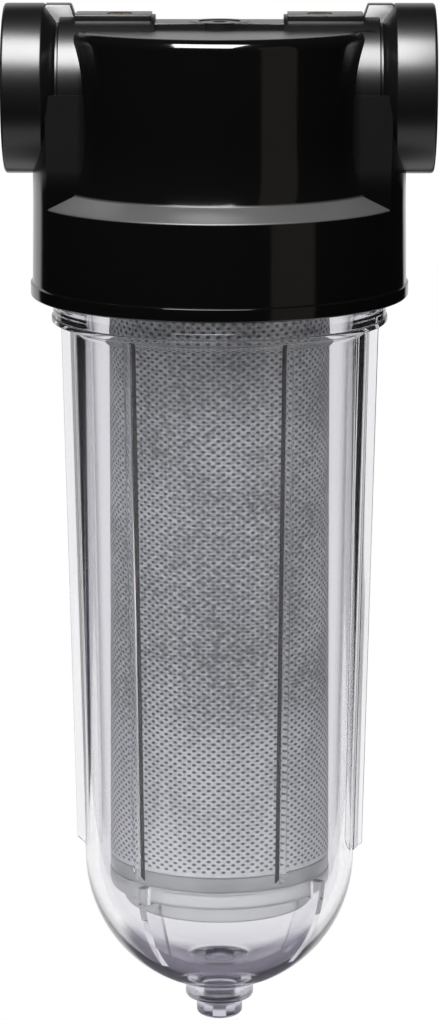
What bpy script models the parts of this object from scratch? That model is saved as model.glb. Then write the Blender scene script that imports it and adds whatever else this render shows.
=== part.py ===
"""A centrifugal water filter: a black head with two threaded side ports, a clear bowl screwed into it,
and inside the bowl a cage with a non-woven sleeve under a ring of guide vanes.

The origin is where the axis of the two ports crosses the axis of the bowl. Z points up, the ports
lie along X, and the front is at -Y. Water comes in at -X and leaves at +X.
"""

import math

import bmesh
import bpy
from mathutils import Matrix, Vector

MM = 0.001

# Facets round the turned pieces
SEGMENTS = 36
SMALL_SEGMENTS = 20
ARC_STEPS = 4
DOME_STEPS = 8

# Clearances between the pieces
SEAT_GAP = 0.3 * MM
RUNNING_GAP = 0.4 * MM

# Head: the round upper body, its sloping ledge and the deep skirt
HEAD_RADIUS = 50.2 * MM
HEAD_TOP = 19.9 * MM
HEAD_EDGE = 3.75 * MM
REAR_STEP = 1.8 * MM
FLARE_TOP = -12.0 * MM
FLARE_HEIGHT = 20.4 * MM
FLARE_REACH = 3.8 * MM
LEDGE_WIDTH = 7.6 * MM
LEDGE_DROP = 4.7 * MM
SKIRT_DRAFT = 0.4 * MM
ROOF_WALL = 2.9 * MM
SKIRT_WALL = 4.3 * MM
BEAD_HEIGHT = 4.5 * MM
BEAD_REACH = 0.7 * MM
BEAD_EDGE = 0.8 * MM

# Head: ports along X
PORT_REACH = 70.5 * MM
PORT_BORE_RADIUS = 19.5 * MM
PORT_BORE_DEPTH = 19.0 * MM
PORT_CHAMFER = 1.2 * MM
COLLAR_WALL = 8.3 * MM
COLLAR_LENGTH = 11.5 * MM
COLLAR_EDGE = 1.0 * MM
COLLAR_CONE = 4.8 * MM
VALLEY_WIDTH = 0.8 * MM
VALLEY_DEPTH = 1.6 * MM
NECK_STEP = 3.6 * MM
THROAT_RADIUS = 14.5 * MM

# Head: webs that carry the ports down to the skirt
WEB_HALF_WIDTH = 24.5 * MM
WEB_DRAFT = 2.5 * MM

# Head: crossbar, bracket pads, vent boss and the blocks on the port necks
BAR_HALF_WIDTH = 8.7 * MM
BAR_HEIGHT = 2.0 * MM
PAD_START = 22.2 * MM
PAD_HEIGHT = 2.6 * MM
INSERT_REACH = 32.7 * MM
INSERT_RADIUS = 4.0 * MM
INSERT_LENGTH = 6.8 * MM
INSERT_THREAD_RADIUS = 2.5 * MM
BLOCK_START = 46.1 * MM
BLOCK_LENGTH = 13.2 * MM
BLOCK_SLOPE = 2.4 * MM
BLOCK_HEIGHT = 3.5 * MM
BLOCK_TOP_HALF_WIDTH = 3.5 * MM
BLOCK_FOOT_HALF_WIDTH = 6.0 * MM

# Head: passages, and the spigot that the cartridge hangs on
THREAD_LENGTH = 22.4 * MM
LAND_LENGTH = 5.6 * MM
LAND_STEP = 1.7 * MM
SPIGOT_BORE_RADIUS = 15.0 * MM
SPIGOT_WALL = 6.0 * MM
SPIGOT_LENGTH = 18.0 * MM
RISER_TOP = 10.0 * MM
DUCT_RADIUS = 10.0 * MM
DUCT_WALL = 5.0 * MM

# Vent screw in the boss at the middle of the top
VENT_BOSS_RADIUS = 9.9 * MM
VENT_BOSS_HEIGHT = 0.1 * MM
VENT_HEAD_RADIUS = 6.6 * MM
VENT_HEAD_HEIGHT = 2.4 * MM
VENT_SHANK_RADIUS = 3.0 * MM
VENT_SHANK_LENGTH = 8.0 * MM
VENT_SEAL_CORD = 1.2 * MM
VENT_SOCKET_RADIUS = 2.6 * MM
VENT_SOCKET_DEPTH = 1.4 * MM

# Bowl
RIM_WALL = 4.2 * MM
THREAD_HEIGHT = 1.5 * MM
THREAD_RUNOUT = 2.0 * MM
BOWL_SEAL_CORD = 2.1 * MM
COLLAR_DROP = 8.6 * MM
COLLAR_LIP = 1.6 * MM
LIP_REACH = 0.5 * MM
COLLAR_STEP = 5.4 * MM
BOWL_LENGTH = 185.4 * MM
BOWL_TAPER = 4.0 * MM
BOWL_WALL = 4.5 * MM
DOME_DEPTH = 47.5 * MM
DOME_FLOOR = 6.5 * MM
STUB_RADIUS = 11.7 * MM
STUB_DEPTH = 4.4 * MM
STUB_EDGE = 1.2 * MM

# Ribs outside the bowl, and fins inside its dome
RIB_COUNT = 6
RIB_FIRST_ANGLE = -34.0
RIB_WIDTH = 3.0 * MM
RIB_HEIGHT = 3.0 * MM
RIB_FILLET = 3.2 * MM
RIB_STOP = 1.5 * MM
FIN_COUNT = 4
FIN_FIRST_ANGLE = -37.0
FIN_WIDTH = 2.6 * MM
FIN_SEAT_DROP = 8.6 * MM
FIN_GUIDE_HEIGHT = 6.3 * MM

# Sleeve and cage
SLEEVE_MARGIN = 4.0 * MM
SLEEVE_WALL = 1.0 * MM
CAGE_WALL = 2.7 * MM
WINDOW_COLUMNS = 8
WINDOW_ROWS = 5
POST_WIDTH = 8.0 * MM
HOOP_HEIGHT = 5.6 * MM
CAGE_END_BAND = 10.0 * MM
CLAMP_WALL = 1.4 * MM
UPPER_CLAMP_HEIGHT = 5.0 * MM
LOWER_CLAMP_HEIGHT = 4.7 * MM

# End cap under the cage
CAP_FLANGE_HEIGHT = 5.7 * MM
CAP_FLANGE_REACH = 0.2 * MM
CAP_SKIRT_HEIGHT = 6.0 * MM
CAP_SPIGOT_HEIGHT = 6.6 * MM
CAP_WALL = 2.7 * MM
CAP_DISC = 2.6 * MM

# Collar on top of the cage, sliding on the head's spigot
COLLAR_TUBE_WALL = 3.3 * MM
COLLAR_TUBE_HEIGHT = 18.0 * MM
COLLAR_FLANGE = 4.0 * MM
COLLAR_PLUG_HEIGHT = 5.7 * MM
COLLAR_SEAL_CORD = 1.6 * MM
COLLAR_SEAL_DROP = 4.6 * MM

# Guide vanes
VANE_COUNT = 12
VANE_HEIGHT = 14.0 * MM
VANE_HEADROOM = 8.0 * MM
VANE_THICKNESS = 1.6 * MM
VANE_LEAD = 11.0 * MM
VANE_STEPS = 5
VANE_EDGE = 1.2 * MM
HUB_WALL = 2.2 * MM
HUB_REACH = 0.5 * MM
SHROUD_WALL = 1.5 * MM
SHROUD_LIFT = 2.0 * MM

# Drain plug under the bowl
DRAIN_BORE_RADIUS = 5.5 * MM
DRAIN_SHANK_LENGTH = 9.0 * MM
DRAIN_SEAL_CORD = 1.4 * MM
DRAIN_HEAD_RADIUS = 7.9 * MM
DRAIN_HEAD_HEIGHT = 6.5 * MM
DRAIN_HEAD_EDGE = 1.5 * MM
DRAIN_SOCKET_RADIUS = 3.6 * MM
DRAIN_SOCKET_DEPTH = 3.5 * MM

# Flat gaskets at the bottom of the threaded ports
GASKET_THICKNESS = 2.0 * MM

# Radii that follow from the sizes above
LEDGE_RADIUS = HEAD_RADIUS + FLARE_REACH
SKIRT_RADIUS = LEDGE_RADIUS + LEDGE_WIDTH
SKIRT_FOOT_RADIUS = SKIRT_RADIUS + SKIRT_DRAFT
THREAD_BORE_RADIUS = SKIRT_RADIUS - SKIRT_WALL
LAND_RADIUS = THREAD_BORE_RADIUS - LAND_STEP
COLLAR_RADIUS = PORT_BORE_RADIUS + COLLAR_WALL
NECK_RADIUS = COLLAR_RADIUS - NECK_STEP
SPIGOT_RADIUS = SPIGOT_BORE_RADIUS + SPIGOT_WALL
DUCT_REACH = SPIGOT_RADIUS + DUCT_WALL + DUCT_RADIUS
BOWL_NECK_RADIUS = THREAD_BORE_RADIUS - RUNNING_GAP
BOWL_RIM_RADIUS = LAND_RADIUS - RUNNING_GAP
BOWL_BORE_RADIUS = BOWL_RIM_RADIUS - RIM_WALL
BOWL_COLLAR_RADIUS = BOWL_NECK_RADIUS - THREAD_HEIGHT
BOWL_TOP_RADIUS = BOWL_COLLAR_RADIUS - COLLAR_STEP
BOWL_FOOT_RADIUS = BOWL_TOP_RADIUS - BOWL_TAPER
BOWL_FOOT_BORE = BOWL_FOOT_RADIUS - BOWL_WALL
SLEEVE_RADIUS = BOWL_FOOT_BORE - SLEEVE_MARGIN
CAGE_RADIUS = SLEEVE_RADIUS - SLEEVE_WALL - SEAT_GAP
CAGE_BORE = CAGE_RADIUS - CAGE_WALL
PLUG_RADIUS = CAGE_BORE - SEAT_GAP
PLUG_BORE = PLUG_RADIUS - CAP_WALL
CAP_FLANGE_RADIUS = SLEEVE_RADIUS + CAP_FLANGE_REACH
COLLAR_BORE = SPIGOT_RADIUS + SEAT_GAP
COLLAR_TUBE_RADIUS = COLLAR_BORE + COLLAR_TUBE_WALL
HUB_RADIUS = SLEEVE_RADIUS + HUB_REACH
SHROUD_RADIUS = BOWL_BORE_RADIUS - SEAT_GAP

# Heights that follow from the sizes above
LEDGE_TOP = FLARE_TOP - FLARE_HEIGHT
LEDGE_FOOT = LEDGE_TOP - LEDGE_DROP
ROOF_Z = LEDGE_FOOT - ROOF_WALL
LAND_Z = ROOF_Z - LAND_LENGTH
MOUTH_Z = LAND_Z - THREAD_LENGTH
SPIGOT_FOOT = ROOF_Z - SPIGOT_LENGTH
BAR_TOP = HEAD_TOP + BAR_HEIGHT
PAD_TOP = BAR_TOP + PAD_HEIGHT
VENT_BOSS_TOP = BAR_TOP + VENT_BOSS_HEIGHT
VANE_TOP = ROOF_Z - VANE_HEADROOM
VANE_FOOT = VANE_TOP - VANE_HEIGHT
FLANGE_TOP = VANE_FOOT - SEAT_GAP
FLANGE_FOOT = FLANGE_TOP - COLLAR_FLANGE
CAGE_TOP = FLANGE_FOOT - SEAT_GAP
BOWL_RIM_TOP = ROOF_Z - RUNNING_GAP
BOWL_COLLAR_FOOT = MOUTH_Z - COLLAR_DROP
DOME_TOP = BOWL_COLLAR_FOOT - BOWL_LENGTH
FIN_SEAT = DOME_TOP - FIN_SEAT_DROP
CAP_FLANGE_FOOT = FIN_SEAT + SEAT_GAP
CAP_FLANGE_TOP = CAP_FLANGE_FOOT + CAP_FLANGE_HEIGHT
CAGE_FOOT = CAP_FLANGE_TOP + SEAT_GAP
LOWER_CLAMP_TOP = CAGE_FOOT + LOWER_CLAMP_HEIGHT
SLEEVE_FOOT = LOWER_CLAMP_TOP + SEAT_GAP
STUB_FOOT = DOME_TOP - DOME_DEPTH - STUB_DEPTH


# Helpers that make one shape each


def clear_scene():
    for obj in list(bpy.data.objects):
        bpy.data.objects.remove(obj, do_unlink=True)


def new_collection(name):
    made = bpy.data.collections.new(name)
    bpy.context.scene.collection.children.link(made)
    return made


def new_object(name, mesh, collection):
    obj = bpy.data.objects.new(name, mesh)
    collection.objects.link(obj)
    return obj


def arc(centre, radii, start, end, steps=ARC_STEPS):
    """Points (r, z) along a quarter or less of an ellipse, from one angle to another in degrees."""
    points = []
    for step in range(steps + 1):
        angle = math.radians(start + (end - start) * step / steps)
        across = centre[0] + radii[0] * math.cos(angle)
        up = centre[1] + radii[1] * math.sin(angle)
        points.append((across, up))
    return points


def turned(name, profile, collection, ring=False, segments=SEGMENTS):
    """A solid turned about Z from (r, z) points that run down its outer side. A ring's outline is closed."""
    points = [(r, 0.0, z) for r, z in profile]
    edges = [(i, i + 1) for i in range(len(points) - 1)]
    if ring:
        edges.append((len(points) - 1, 0))
    mesh = bpy.data.meshes.new(name)
    mesh.from_pydata(points, edges, [])
    obj = new_object(name, mesh, collection)
    screw = obj.modifiers.new("Turn", "SCREW")
    screw.axis = "Z"
    screw.angle = math.tau
    screw.steps = segments
    screw.render_steps = segments
    screw.use_merge_vertices = True
    screw.merge_threshold = 1e-5
    return obj


def along_x(obj, side):
    """Turns a piece that was made about Z so that its top points to the port on this side."""
    obj.rotation_euler = (0.0, side * math.radians(90.0), 0.0)
    return obj


def block(name, low, high, collection, top_inset=(0.0, 0.0)):
    """A box between two corners. Its top is narrower than its foot by top_inset on each side in X and Y."""
    low = Vector(low)
    high = Vector(high)
    size = high - low
    shape = bmesh.new()
    bmesh.ops.create_cube(shape, size=1.0)
    for corner in shape.verts:
        is_top = corner.co.z > 0.0
        inset = Vector((*top_inset, 0.0)) if is_top else Vector()
        half = size / 2.0 - inset
        centre = (low + high) / 2.0
        signs = [math.copysign(1.0, value) for value in corner.co]
        corner.co = centre + Vector(sign * reach for sign, reach in zip(signs, half))
    mesh = bpy.data.meshes.new(name)
    shape.to_mesh(mesh)
    shape.free()
    return new_object(name, mesh, collection)


def plate(name, outline, thickness, angle, collection):
    """A flat plate that stands on a plane through Z, cut to an outline of (r, z) points."""
    curve = bpy.data.curves.new(name, "CURVE")
    curve.dimensions = "2D"
    curve.fill_mode = "BOTH"
    curve.extrude = thickness / 2.0
    spline = curve.splines.new("POLY")
    spline.points.add(len(outline) - 1)
    for point, (r, z) in zip(spline.points, outline):
        point.co = (r, z, 0.0, 1.0)
    spline.use_cyclic_u = True
    flat = new_object(name, curve, collection)
    stand = Matrix.Rotation(math.radians(90.0), 4, "X")
    flat.matrix_world = Matrix.Rotation(angle, 4, "Z") @ stand
    bpy.context.view_layer.update()
    graph = bpy.context.evaluated_depsgraph_get()
    mesh = bpy.data.meshes.new_from_object(flat.evaluated_get(graph))
    place = flat.matrix_world.copy()
    bpy.data.objects.remove(flat, do_unlink=True)
    shape = bmesh.new()
    shape.from_mesh(mesh)
    bmesh.ops.remove_doubles(shape, verts=shape.verts, dist=1e-6)
    bmesh.ops.recalc_face_normals(shape, faces=shape.faces)
    shape.to_mesh(mesh)
    shape.free()
    obj = new_object(name, mesh, collection)
    obj.matrix_world = place
    return obj


def prism(name, radius, low, high, collection, sides=6):
    """A regular prism about Z, for a hexagon socket."""
    shape = bmesh.new()
    bmesh.ops.create_cone(
        shape,
        cap_ends=True,
        segments=sides,
        radius1=radius,
        radius2=radius,
        depth=high - low,
        matrix=Matrix.Translation((0.0, 0.0, (low + high) / 2.0)),
    )
    mesh = bpy.data.meshes.new(name)
    shape.to_mesh(mesh)
    shape.free()
    return new_object(name, mesh, collection)


def combine(obj, tool, operation):
    """Adds a Boolean with a helper object, which stays out of the render."""
    tool.hide_render = True
    tool.display_type = "WIRE"
    step = obj.modifiers.new(tool.name, "BOOLEAN")
    step.operation = operation
    step.solver = "EXACT"
    step.object = tool


def join(obj, *tools):
    for tool in tools:
        combine(obj, tool, "UNION")


def cut(obj, *tools):
    for tool in tools:
        combine(obj, tool, "DIFFERENCE")


def finish(obj, material):
    """Applies the piece's modifiers, gives it its material, and shades it smooth but for its edges."""
    bpy.context.view_layer.update()
    graph = bpy.context.evaluated_depsgraph_get()
    mesh = bpy.data.meshes.new_from_object(obj.evaluated_get(graph))
    obj.modifiers.clear()
    obj.data = mesh
    mesh.name = obj.name
    mesh.materials.clear()
    mesh.materials.append(material)
    mesh.shade_smooth()
    mesh.set_sharp_from_angle(angle=math.radians(30.0))
    return obj


def plain_material(name, colour, roughness, metallic=0.0, see_through=0.0):
    made = bpy.data.materials.new(name)
    made.use_nodes = True
    shader = made.node_tree.nodes["Principled BSDF"]
    shader.inputs["Base Color"].default_value = (*colour, 1.0)
    shader.inputs["Roughness"].default_value = roughness
    shader.inputs["Metallic"].default_value = metallic
    shader.inputs["Transmission Weight"].default_value = see_through
    return made


# Head


def head_shell(parts):
    """The turned outside of the head, closed below for now."""
    top_edge = arc((HEAD_RADIUS - HEAD_EDGE, HEAD_TOP - HEAD_EDGE), (HEAD_EDGE, HEAD_EDGE), 90.0, 0.0)
    flare = arc((LEDGE_RADIUS, FLARE_TOP), (FLARE_REACH, FLARE_HEIGHT), 180.0, 270.0)
    bead_radius = SKIRT_FOOT_RADIUS + BEAD_REACH
    profile = [(0.0, HEAD_TOP)]
    profile += top_edge + flare
    profile += [
        (SKIRT_RADIUS, LEDGE_FOOT),
        (SKIRT_FOOT_RADIUS, MOUTH_Z + BEAD_HEIGHT),
        (bead_radius, MOUTH_Z + BEAD_HEIGHT),
        (bead_radius, MOUTH_Z + BEAD_EDGE),
        (bead_radius - BEAD_EDGE, MOUTH_Z),
        (0.0, MOUTH_Z),
    ]
    return turned("head_body", profile, parts)


def port_outside(side, helpers):
    """One port: the neck, the valley beside it, the cone and the collar, turned about X."""
    cone_start = PORT_REACH - COLLAR_LENGTH - COLLAR_CONE
    valley_radius = NECK_RADIUS - VALLEY_DEPTH
    profile = [
        (0.0, PORT_REACH),
        (COLLAR_RADIUS - COLLAR_EDGE, PORT_REACH),
        (COLLAR_RADIUS, PORT_REACH - COLLAR_EDGE),
        (COLLAR_RADIUS, PORT_REACH - COLLAR_LENGTH),
        (valley_radius, cone_start),
        (NECK_RADIUS, cone_start - VALLEY_WIDTH),
        (NECK_RADIUS, SPIGOT_RADIUS),
        (0.0, SPIGOT_RADIUS),
    ]
    return along_x(turned("port_outside", profile, helpers), side)


def webs(helpers):
    """Drafted blocks under the ports that end on the skirt's own cylinder."""
    web = turned(
        "webs",
        [(0.0, 0.0), (SKIRT_RADIUS, 0.0), (SKIRT_RADIUS, LEDGE_FOOT), (0.0, LEDGE_FOOT)],
        helpers,
    )
    foot_half_width = WEB_HALF_WIDTH + WEB_DRAFT
    reach = SKIRT_RADIUS + LEDGE_WIDTH
    limit = block(
        "web_limit",
        (-reach, -foot_half_width, LEDGE_FOOT - LEDGE_DROP),
        (reach, foot_half_width, HEAD_TOP / 2.0),
        helpers,
        top_inset=(0.0, WEB_DRAFT),
    )
    combine(web, limit, "INTERSECT")
    return web


def top_bar(helpers):
    """The crossbar from one port neck to the other."""
    return block(
        "crossbar",
        (-BLOCK_START, -BAR_HALF_WIDTH, 0.0),
        (BLOCK_START, BAR_HALF_WIDTH, BAR_TOP),
        helpers,
    )


def pad(side, helpers):
    """The raised pad for the wall bracket, from its inner end to the block on the port neck."""
    inner = min(side * PAD_START, side * BLOCK_START)
    outer = max(side * PAD_START, side * BLOCK_START)
    return block(
        "bracket_pad",
        (inner, -BAR_HALF_WIDTH, HEAD_TOP - BAR_HEIGHT),
        (outer, BAR_HALF_WIDTH, PAD_TOP),
        helpers,
    )


def neck_block(side, helpers):
    """The small drafted block on the crest of a port neck."""
    inner = min(side * BLOCK_START, side * (BLOCK_START + BLOCK_LENGTH))
    outer = max(side * BLOCK_START, side * (BLOCK_START + BLOCK_LENGTH))
    half_width = BLOCK_FOOT_HALF_WIDTH
    return block(
        "neck_block",
        (inner, -half_width, NECK_RADIUS - BLOCK_HEIGHT),
        (outer, half_width, NECK_RADIUS + BLOCK_HEIGHT),
        helpers,
        top_inset=(BLOCK_SLOPE, half_width - BLOCK_TOP_HALF_WIDTH),
    )


def rod(name, radius, low, high, helpers, segments=SEGMENTS):
    """A plain cylinder about Z."""
    profile = [(0.0, high), (radius, high), (radius, low), (0.0, low)]
    return turned(name, profile, helpers, segments=segments)


def bowl_chamber(helpers):
    """The space under the head: the threaded mouth, the seal land, and the room round the spigot."""
    below = MOUTH_Z - BEAD_HEIGHT
    profile = [
        (0.0, SPIGOT_FOOT),
        (SPIGOT_RADIUS, SPIGOT_FOOT),
        (SPIGOT_RADIUS, ROOF_Z),
        (LAND_RADIUS, ROOF_Z),
        (LAND_RADIUS, LAND_Z),
        (THREAD_BORE_RADIUS, LAND_Z),
        (THREAD_BORE_RADIUS, below),
        (0.0, below),
    ]
    return turned("bowl_chamber", profile, helpers)


def port_bore(side, inner_end, helpers):
    """The threaded bore of one port with its lead-in chamfer, and the throat behind it."""
    outside = PORT_REACH + COLLAR_LENGTH
    profile = [
        (0.0, outside),
        (PORT_BORE_RADIUS + PORT_CHAMFER, outside),
        (PORT_BORE_RADIUS + PORT_CHAMFER, PORT_REACH),
        (PORT_BORE_RADIUS, PORT_REACH - PORT_CHAMFER),
        (PORT_BORE_RADIUS, PORT_REACH - PORT_BORE_DEPTH),
        (THROAT_RADIUS, PORT_REACH - PORT_BORE_DEPTH),
        (THROAT_RADIUS, inner_end),
        (0.0, inner_end),
    ]
    return along_x(turned("port_bore", profile, helpers), side)


def vent_counterbore_floor():
    return VENT_BOSS_TOP - VENT_HEAD_HEIGHT - 3.0 * SEAT_GAP - VENT_SEAL_CORD


def head_body(parts, helpers, material):
    head = head_shell(parts)
    join(head, webs(helpers))
    for side in (-1, 1):
        join(head, port_outside(side, helpers))
    rear_reach = BLOCK_START - BLOCK_SLOPE
    rear_half = block(
        "rear_half",
        (-rear_reach, BAR_HALF_WIDTH, HEAD_TOP - REAR_STEP),
        (rear_reach, HEAD_RADIUS, PAD_TOP + BLOCK_HEIGHT),
        helpers,
    )
    cut(head, rear_half)
    join(head, top_bar(helpers))
    for side in (-1, 1):
        join(head, pad(side, helpers), neck_block(side, helpers))
    boss_foot = HEAD_TOP - VENT_HEAD_HEIGHT
    join(head, rod("vent_boss", VENT_BOSS_RADIUS, boss_foot, VENT_BOSS_TOP, helpers, SMALL_SEGMENTS))

    cut(head, bowl_chamber(helpers))
    riser = rod("riser", SPIGOT_BORE_RADIUS, SPIGOT_FOOT - SPIGOT_WALL, RISER_TOP, helpers)
    join(riser, port_bore(1, 0.0, helpers))
    cut(head, riser)
    cut(head, port_bore(-1, DUCT_REACH - DUCT_RADIUS, helpers))
    duct = rod("inlet_duct", DUCT_RADIUS, ROOF_Z - DUCT_WALL, 0.0, helpers, SMALL_SEGMENTS)
    duct.location.x = -DUCT_REACH
    cut(head, duct)

    above = VENT_BOSS_TOP + VENT_HEAD_HEIGHT
    bore = VENT_SHANK_RADIUS + SEAT_GAP
    counterbore = VENT_HEAD_RADIUS + RUNNING_GAP
    floor = vent_counterbore_floor()
    cut(head, rod("vent_counterbore", counterbore, floor, above, helpers, SMALL_SEGMENTS))
    cut(head, rod("vent_bore", bore, RISER_TOP - bore, above, helpers, SMALL_SEGMENTS))
    for side in (-1, 1):
        hole_foot = PAD_TOP - INSERT_LENGTH - 2.0 * SEAT_GAP
        hole = rod(
            "insert_hole", INSERT_RADIUS + SEAT_GAP, hole_foot, PAD_TOP + PAD_HEIGHT, helpers, SMALL_SEGMENTS
        )
        hole.location.x = side * INSERT_REACH
        cut(head, hole)
    return finish(head, material)


def bracket_insert(name, side, parts, material):
    """A threaded brass bush, set just under the face of its pad."""
    top = PAD_TOP - SEAT_GAP
    profile = [
        (INSERT_RADIUS, top),
        (INSERT_RADIUS, top - INSERT_LENGTH),
        (INSERT_THREAD_RADIUS, top - INSERT_LENGTH),
        (INSERT_THREAD_RADIUS, top),
    ]
    insert = turned(name, profile, parts, ring=True, segments=SMALL_SEGMENTS)
    insert.location.x = side * INSERT_REACH
    return finish(insert, material)


def port_gasket(name, side, parts, material):
    """The flat gasket that lies on the floor of a threaded port."""
    floor = PORT_REACH - PORT_BORE_DEPTH + SEAT_GAP
    outer = PORT_BORE_RADIUS - SEAT_GAP
    profile = [
        (outer, floor + GASKET_THICKNESS),
        (outer, floor),
        (THROAT_RADIUS, floor),
        (THROAT_RADIUS, floor + GASKET_THICKNESS),
    ]
    gasket = turned(name, profile, parts, ring=True)
    return finish(along_x(gasket, side), material)


def seal_ring(name, inner, cord, middle, parts, material, segments=SEGMENTS):
    """A round rubber ring of six-sided section, with its inner radius, cord and middle height given."""
    centre = inner + cord / 2.0
    section = arc((centre, middle), (cord / 2.0, cord / 2.0), 90.0, -210.0, steps=5)
    return finish(turned(name, section, parts, ring=True, segments=segments), material)


def vent_plug(parts, helpers, material):
    top = VENT_BOSS_TOP - SEAT_GAP
    under_head = top - VENT_HEAD_HEIGHT
    foot = under_head - VENT_SHANK_LENGTH
    profile = [
        (0.0, top),
        (VENT_HEAD_RADIUS - SEAT_GAP, top),
        (VENT_HEAD_RADIUS, top - SEAT_GAP),
        (VENT_HEAD_RADIUS, under_head),
        (VENT_SHANK_RADIUS, under_head),
        (VENT_SHANK_RADIUS, foot),
        (0.0, foot),
    ]
    plug = turned("vent_plug", profile, parts, segments=SMALL_SEGMENTS)
    socket_floor = top - VENT_SOCKET_DEPTH
    cut(plug, prism("vent_socket", VENT_SOCKET_RADIUS, socket_floor, top + VENT_HEAD_HEIGHT, helpers))
    return finish(plug, material)


def vent_seal_middle():
    return vent_counterbore_floor() + SEAT_GAP + VENT_SEAL_CORD / 2.0


# Bowl


def bowl_seal_middle():
    return LAND_Z + LAND_LENGTH / 2.0


def bowl_outside():
    """Outer profile from the rim down to the stub's foot."""
    groove_half = BOWL_SEAL_CORD / 2.0 + SEAT_GAP
    groove_floor = LAND_RADIUS - BOWL_SEAL_CORD - 2.0 * SEAT_GAP
    middle = bowl_seal_middle()
    lip_top = BOWL_COLLAR_FOOT + COLLAR_LIP
    stub_join = DOME_TOP - DOME_DEPTH * math.sqrt(1.0 - (STUB_RADIUS / BOWL_FOOT_RADIUS) ** 2)
    dome_end = -math.degrees(math.acos(STUB_RADIUS / BOWL_FOOT_RADIUS))
    profile = [
        (BOWL_RIM_RADIUS, BOWL_RIM_TOP),
        (BOWL_RIM_RADIUS, middle + groove_half),
        (groove_floor, middle + groove_half),
        (groove_floor, middle - groove_half),
        (BOWL_RIM_RADIUS, middle - groove_half),
        (BOWL_RIM_RADIUS, LAND_Z - RUNNING_GAP),
        (BOWL_NECK_RADIUS, LAND_Z - RUNNING_GAP),
        (BOWL_NECK_RADIUS, MOUTH_Z + THREAD_RUNOUT),
        (BOWL_COLLAR_RADIUS, MOUTH_Z + THREAD_RUNOUT),
        (BOWL_COLLAR_RADIUS, lip_top),
        (BOWL_COLLAR_RADIUS + LIP_REACH, lip_top),
        (BOWL_COLLAR_RADIUS + LIP_REACH, BOWL_COLLAR_FOOT),
        (BOWL_TOP_RADIUS, BOWL_COLLAR_FOOT - LIP_REACH),
    ]
    profile += arc((0.0, DOME_TOP), (BOWL_FOOT_RADIUS, DOME_DEPTH), 0.0, dome_end, DOME_STEPS)[:-1]
    profile += [
        (STUB_RADIUS, stub_join),
        (STUB_RADIUS, STUB_FOOT + STUB_EDGE),
        (STUB_RADIUS - STUB_EDGE, STUB_FOOT),
    ]
    return profile


def drain_counterbore_radius():
    return DRAIN_BORE_RADIUS + DRAIN_SEAL_CORD + SEAT_GAP


def drain_counterbore_floor():
    return STUB_FOOT + DRAIN_SEAL_CORD + SEAT_GAP


def bowl_inside():
    """Inner profile from the stub's foot back up to the rim."""
    bore = DRAIN_BORE_RADIUS
    counterbore = drain_counterbore_radius()
    floor = drain_counterbore_floor()
    dome = (BOWL_FOOT_BORE, DOME_DEPTH - DOME_FLOOR)
    first = -math.degrees(math.acos(bore / dome[0]))
    shoulder = VANE_FOOT + SHROUD_LIFT - SHROUD_WALL
    profile = [(counterbore, STUB_FOOT), (counterbore, floor), (bore, floor)]
    profile += arc((0.0, DOME_TOP), dome, first, 0.0, DOME_STEPS - 1)
    profile += [
        (BOWL_TOP_RADIUS - BOWL_WALL, BOWL_COLLAR_FOOT),
        (BOWL_BORE_RADIUS, shoulder),
        (BOWL_BORE_RADIUS, BOWL_RIM_TOP),
    ]
    return profile


def rib_outline():
    """Side view of an outer rib: curved into the collar above, chamfered at its foot."""
    root = BOWL_WALL / 2.0
    top = BOWL_COLLAR_FOOT
    foot = DOME_TOP + RIB_STOP
    crest_top = BOWL_TOP_RADIUS + RIB_HEIGHT
    crest_foot = BOWL_FOOT_RADIUS + RIB_HEIGHT
    outline = [(BOWL_TOP_RADIUS - root, top + root)]
    outline += [(crest_top + RIB_FILLET / 2.0, top + root)]
    outline += arc(
        (crest_top + RIB_FILLET / 2.0, top - RIB_FILLET), (RIB_FILLET / 2.0, RIB_FILLET), 90.0, 180.0
    )
    outline += [
        (crest_foot, foot + RIB_HEIGHT),
        (BOWL_FOOT_RADIUS - SEAT_GAP, foot - SEAT_GAP),
        (BOWL_FOOT_RADIUS - root, foot - SEAT_GAP),
    ]
    return outline


def fin_outline():
    """Side view of an inner fin: a tall guide by the wall, and a lower seat for the end cap."""
    root = BOWL_FOOT_BORE + BOWL_WALL / 2.0
    guide_radius = CAP_FLANGE_RADIUS + 2.0 * SEAT_GAP
    seat_radius = PLUG_RADIUS + RUNNING_GAP
    guide_top = FIN_SEAT + FIN_GUIDE_HEIGHT
    depth = DOME_DEPTH - DOME_FLOOR / 2.0
    meets_floor = DOME_TOP - depth * math.sqrt(1.0 - (seat_radius / root) ** 2)
    outline = [
        (seat_radius, FIN_SEAT),
        (guide_radius, FIN_SEAT),
        (guide_radius, guide_top),
        (root, guide_top),
    ]
    sweep = -math.degrees(math.acos(seat_radius / root))
    outline += arc((0.0, DOME_TOP), (root, depth), 0.0, sweep)[:-1] if guide_top > DOME_TOP else []
    if guide_top <= DOME_TOP:
        start = math.degrees(math.asin((guide_top - DOME_TOP) / depth))
        outline[-1] = (root * math.cos(math.radians(start)), guide_top)
        outline += arc((0.0, DOME_TOP), (root, depth), start, sweep)[1:-1]
    outline += [(seat_radius, meets_floor)]
    return outline


def facing(degrees):
    """Turns an angle from the front (-Y) towards +X into one from +X about Z."""
    return math.radians(degrees - 90.0)


def bowl(parts, helpers, material):
    shell = turned("bowl", bowl_outside() + bowl_inside(), parts, ring=True)
    for index in range(RIB_COUNT):
        angle = facing(RIB_FIRST_ANGLE + 360.0 * index / RIB_COUNT)
        join(shell, plate("rib", rib_outline(), RIB_WIDTH, angle, helpers))
    for index in range(FIN_COUNT):
        angle = facing(FIN_FIRST_ANGLE + 360.0 * index / FIN_COUNT)
        join(shell, plate("fin", fin_outline(), FIN_WIDTH, angle, helpers))
    return finish(shell, material)


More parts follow.
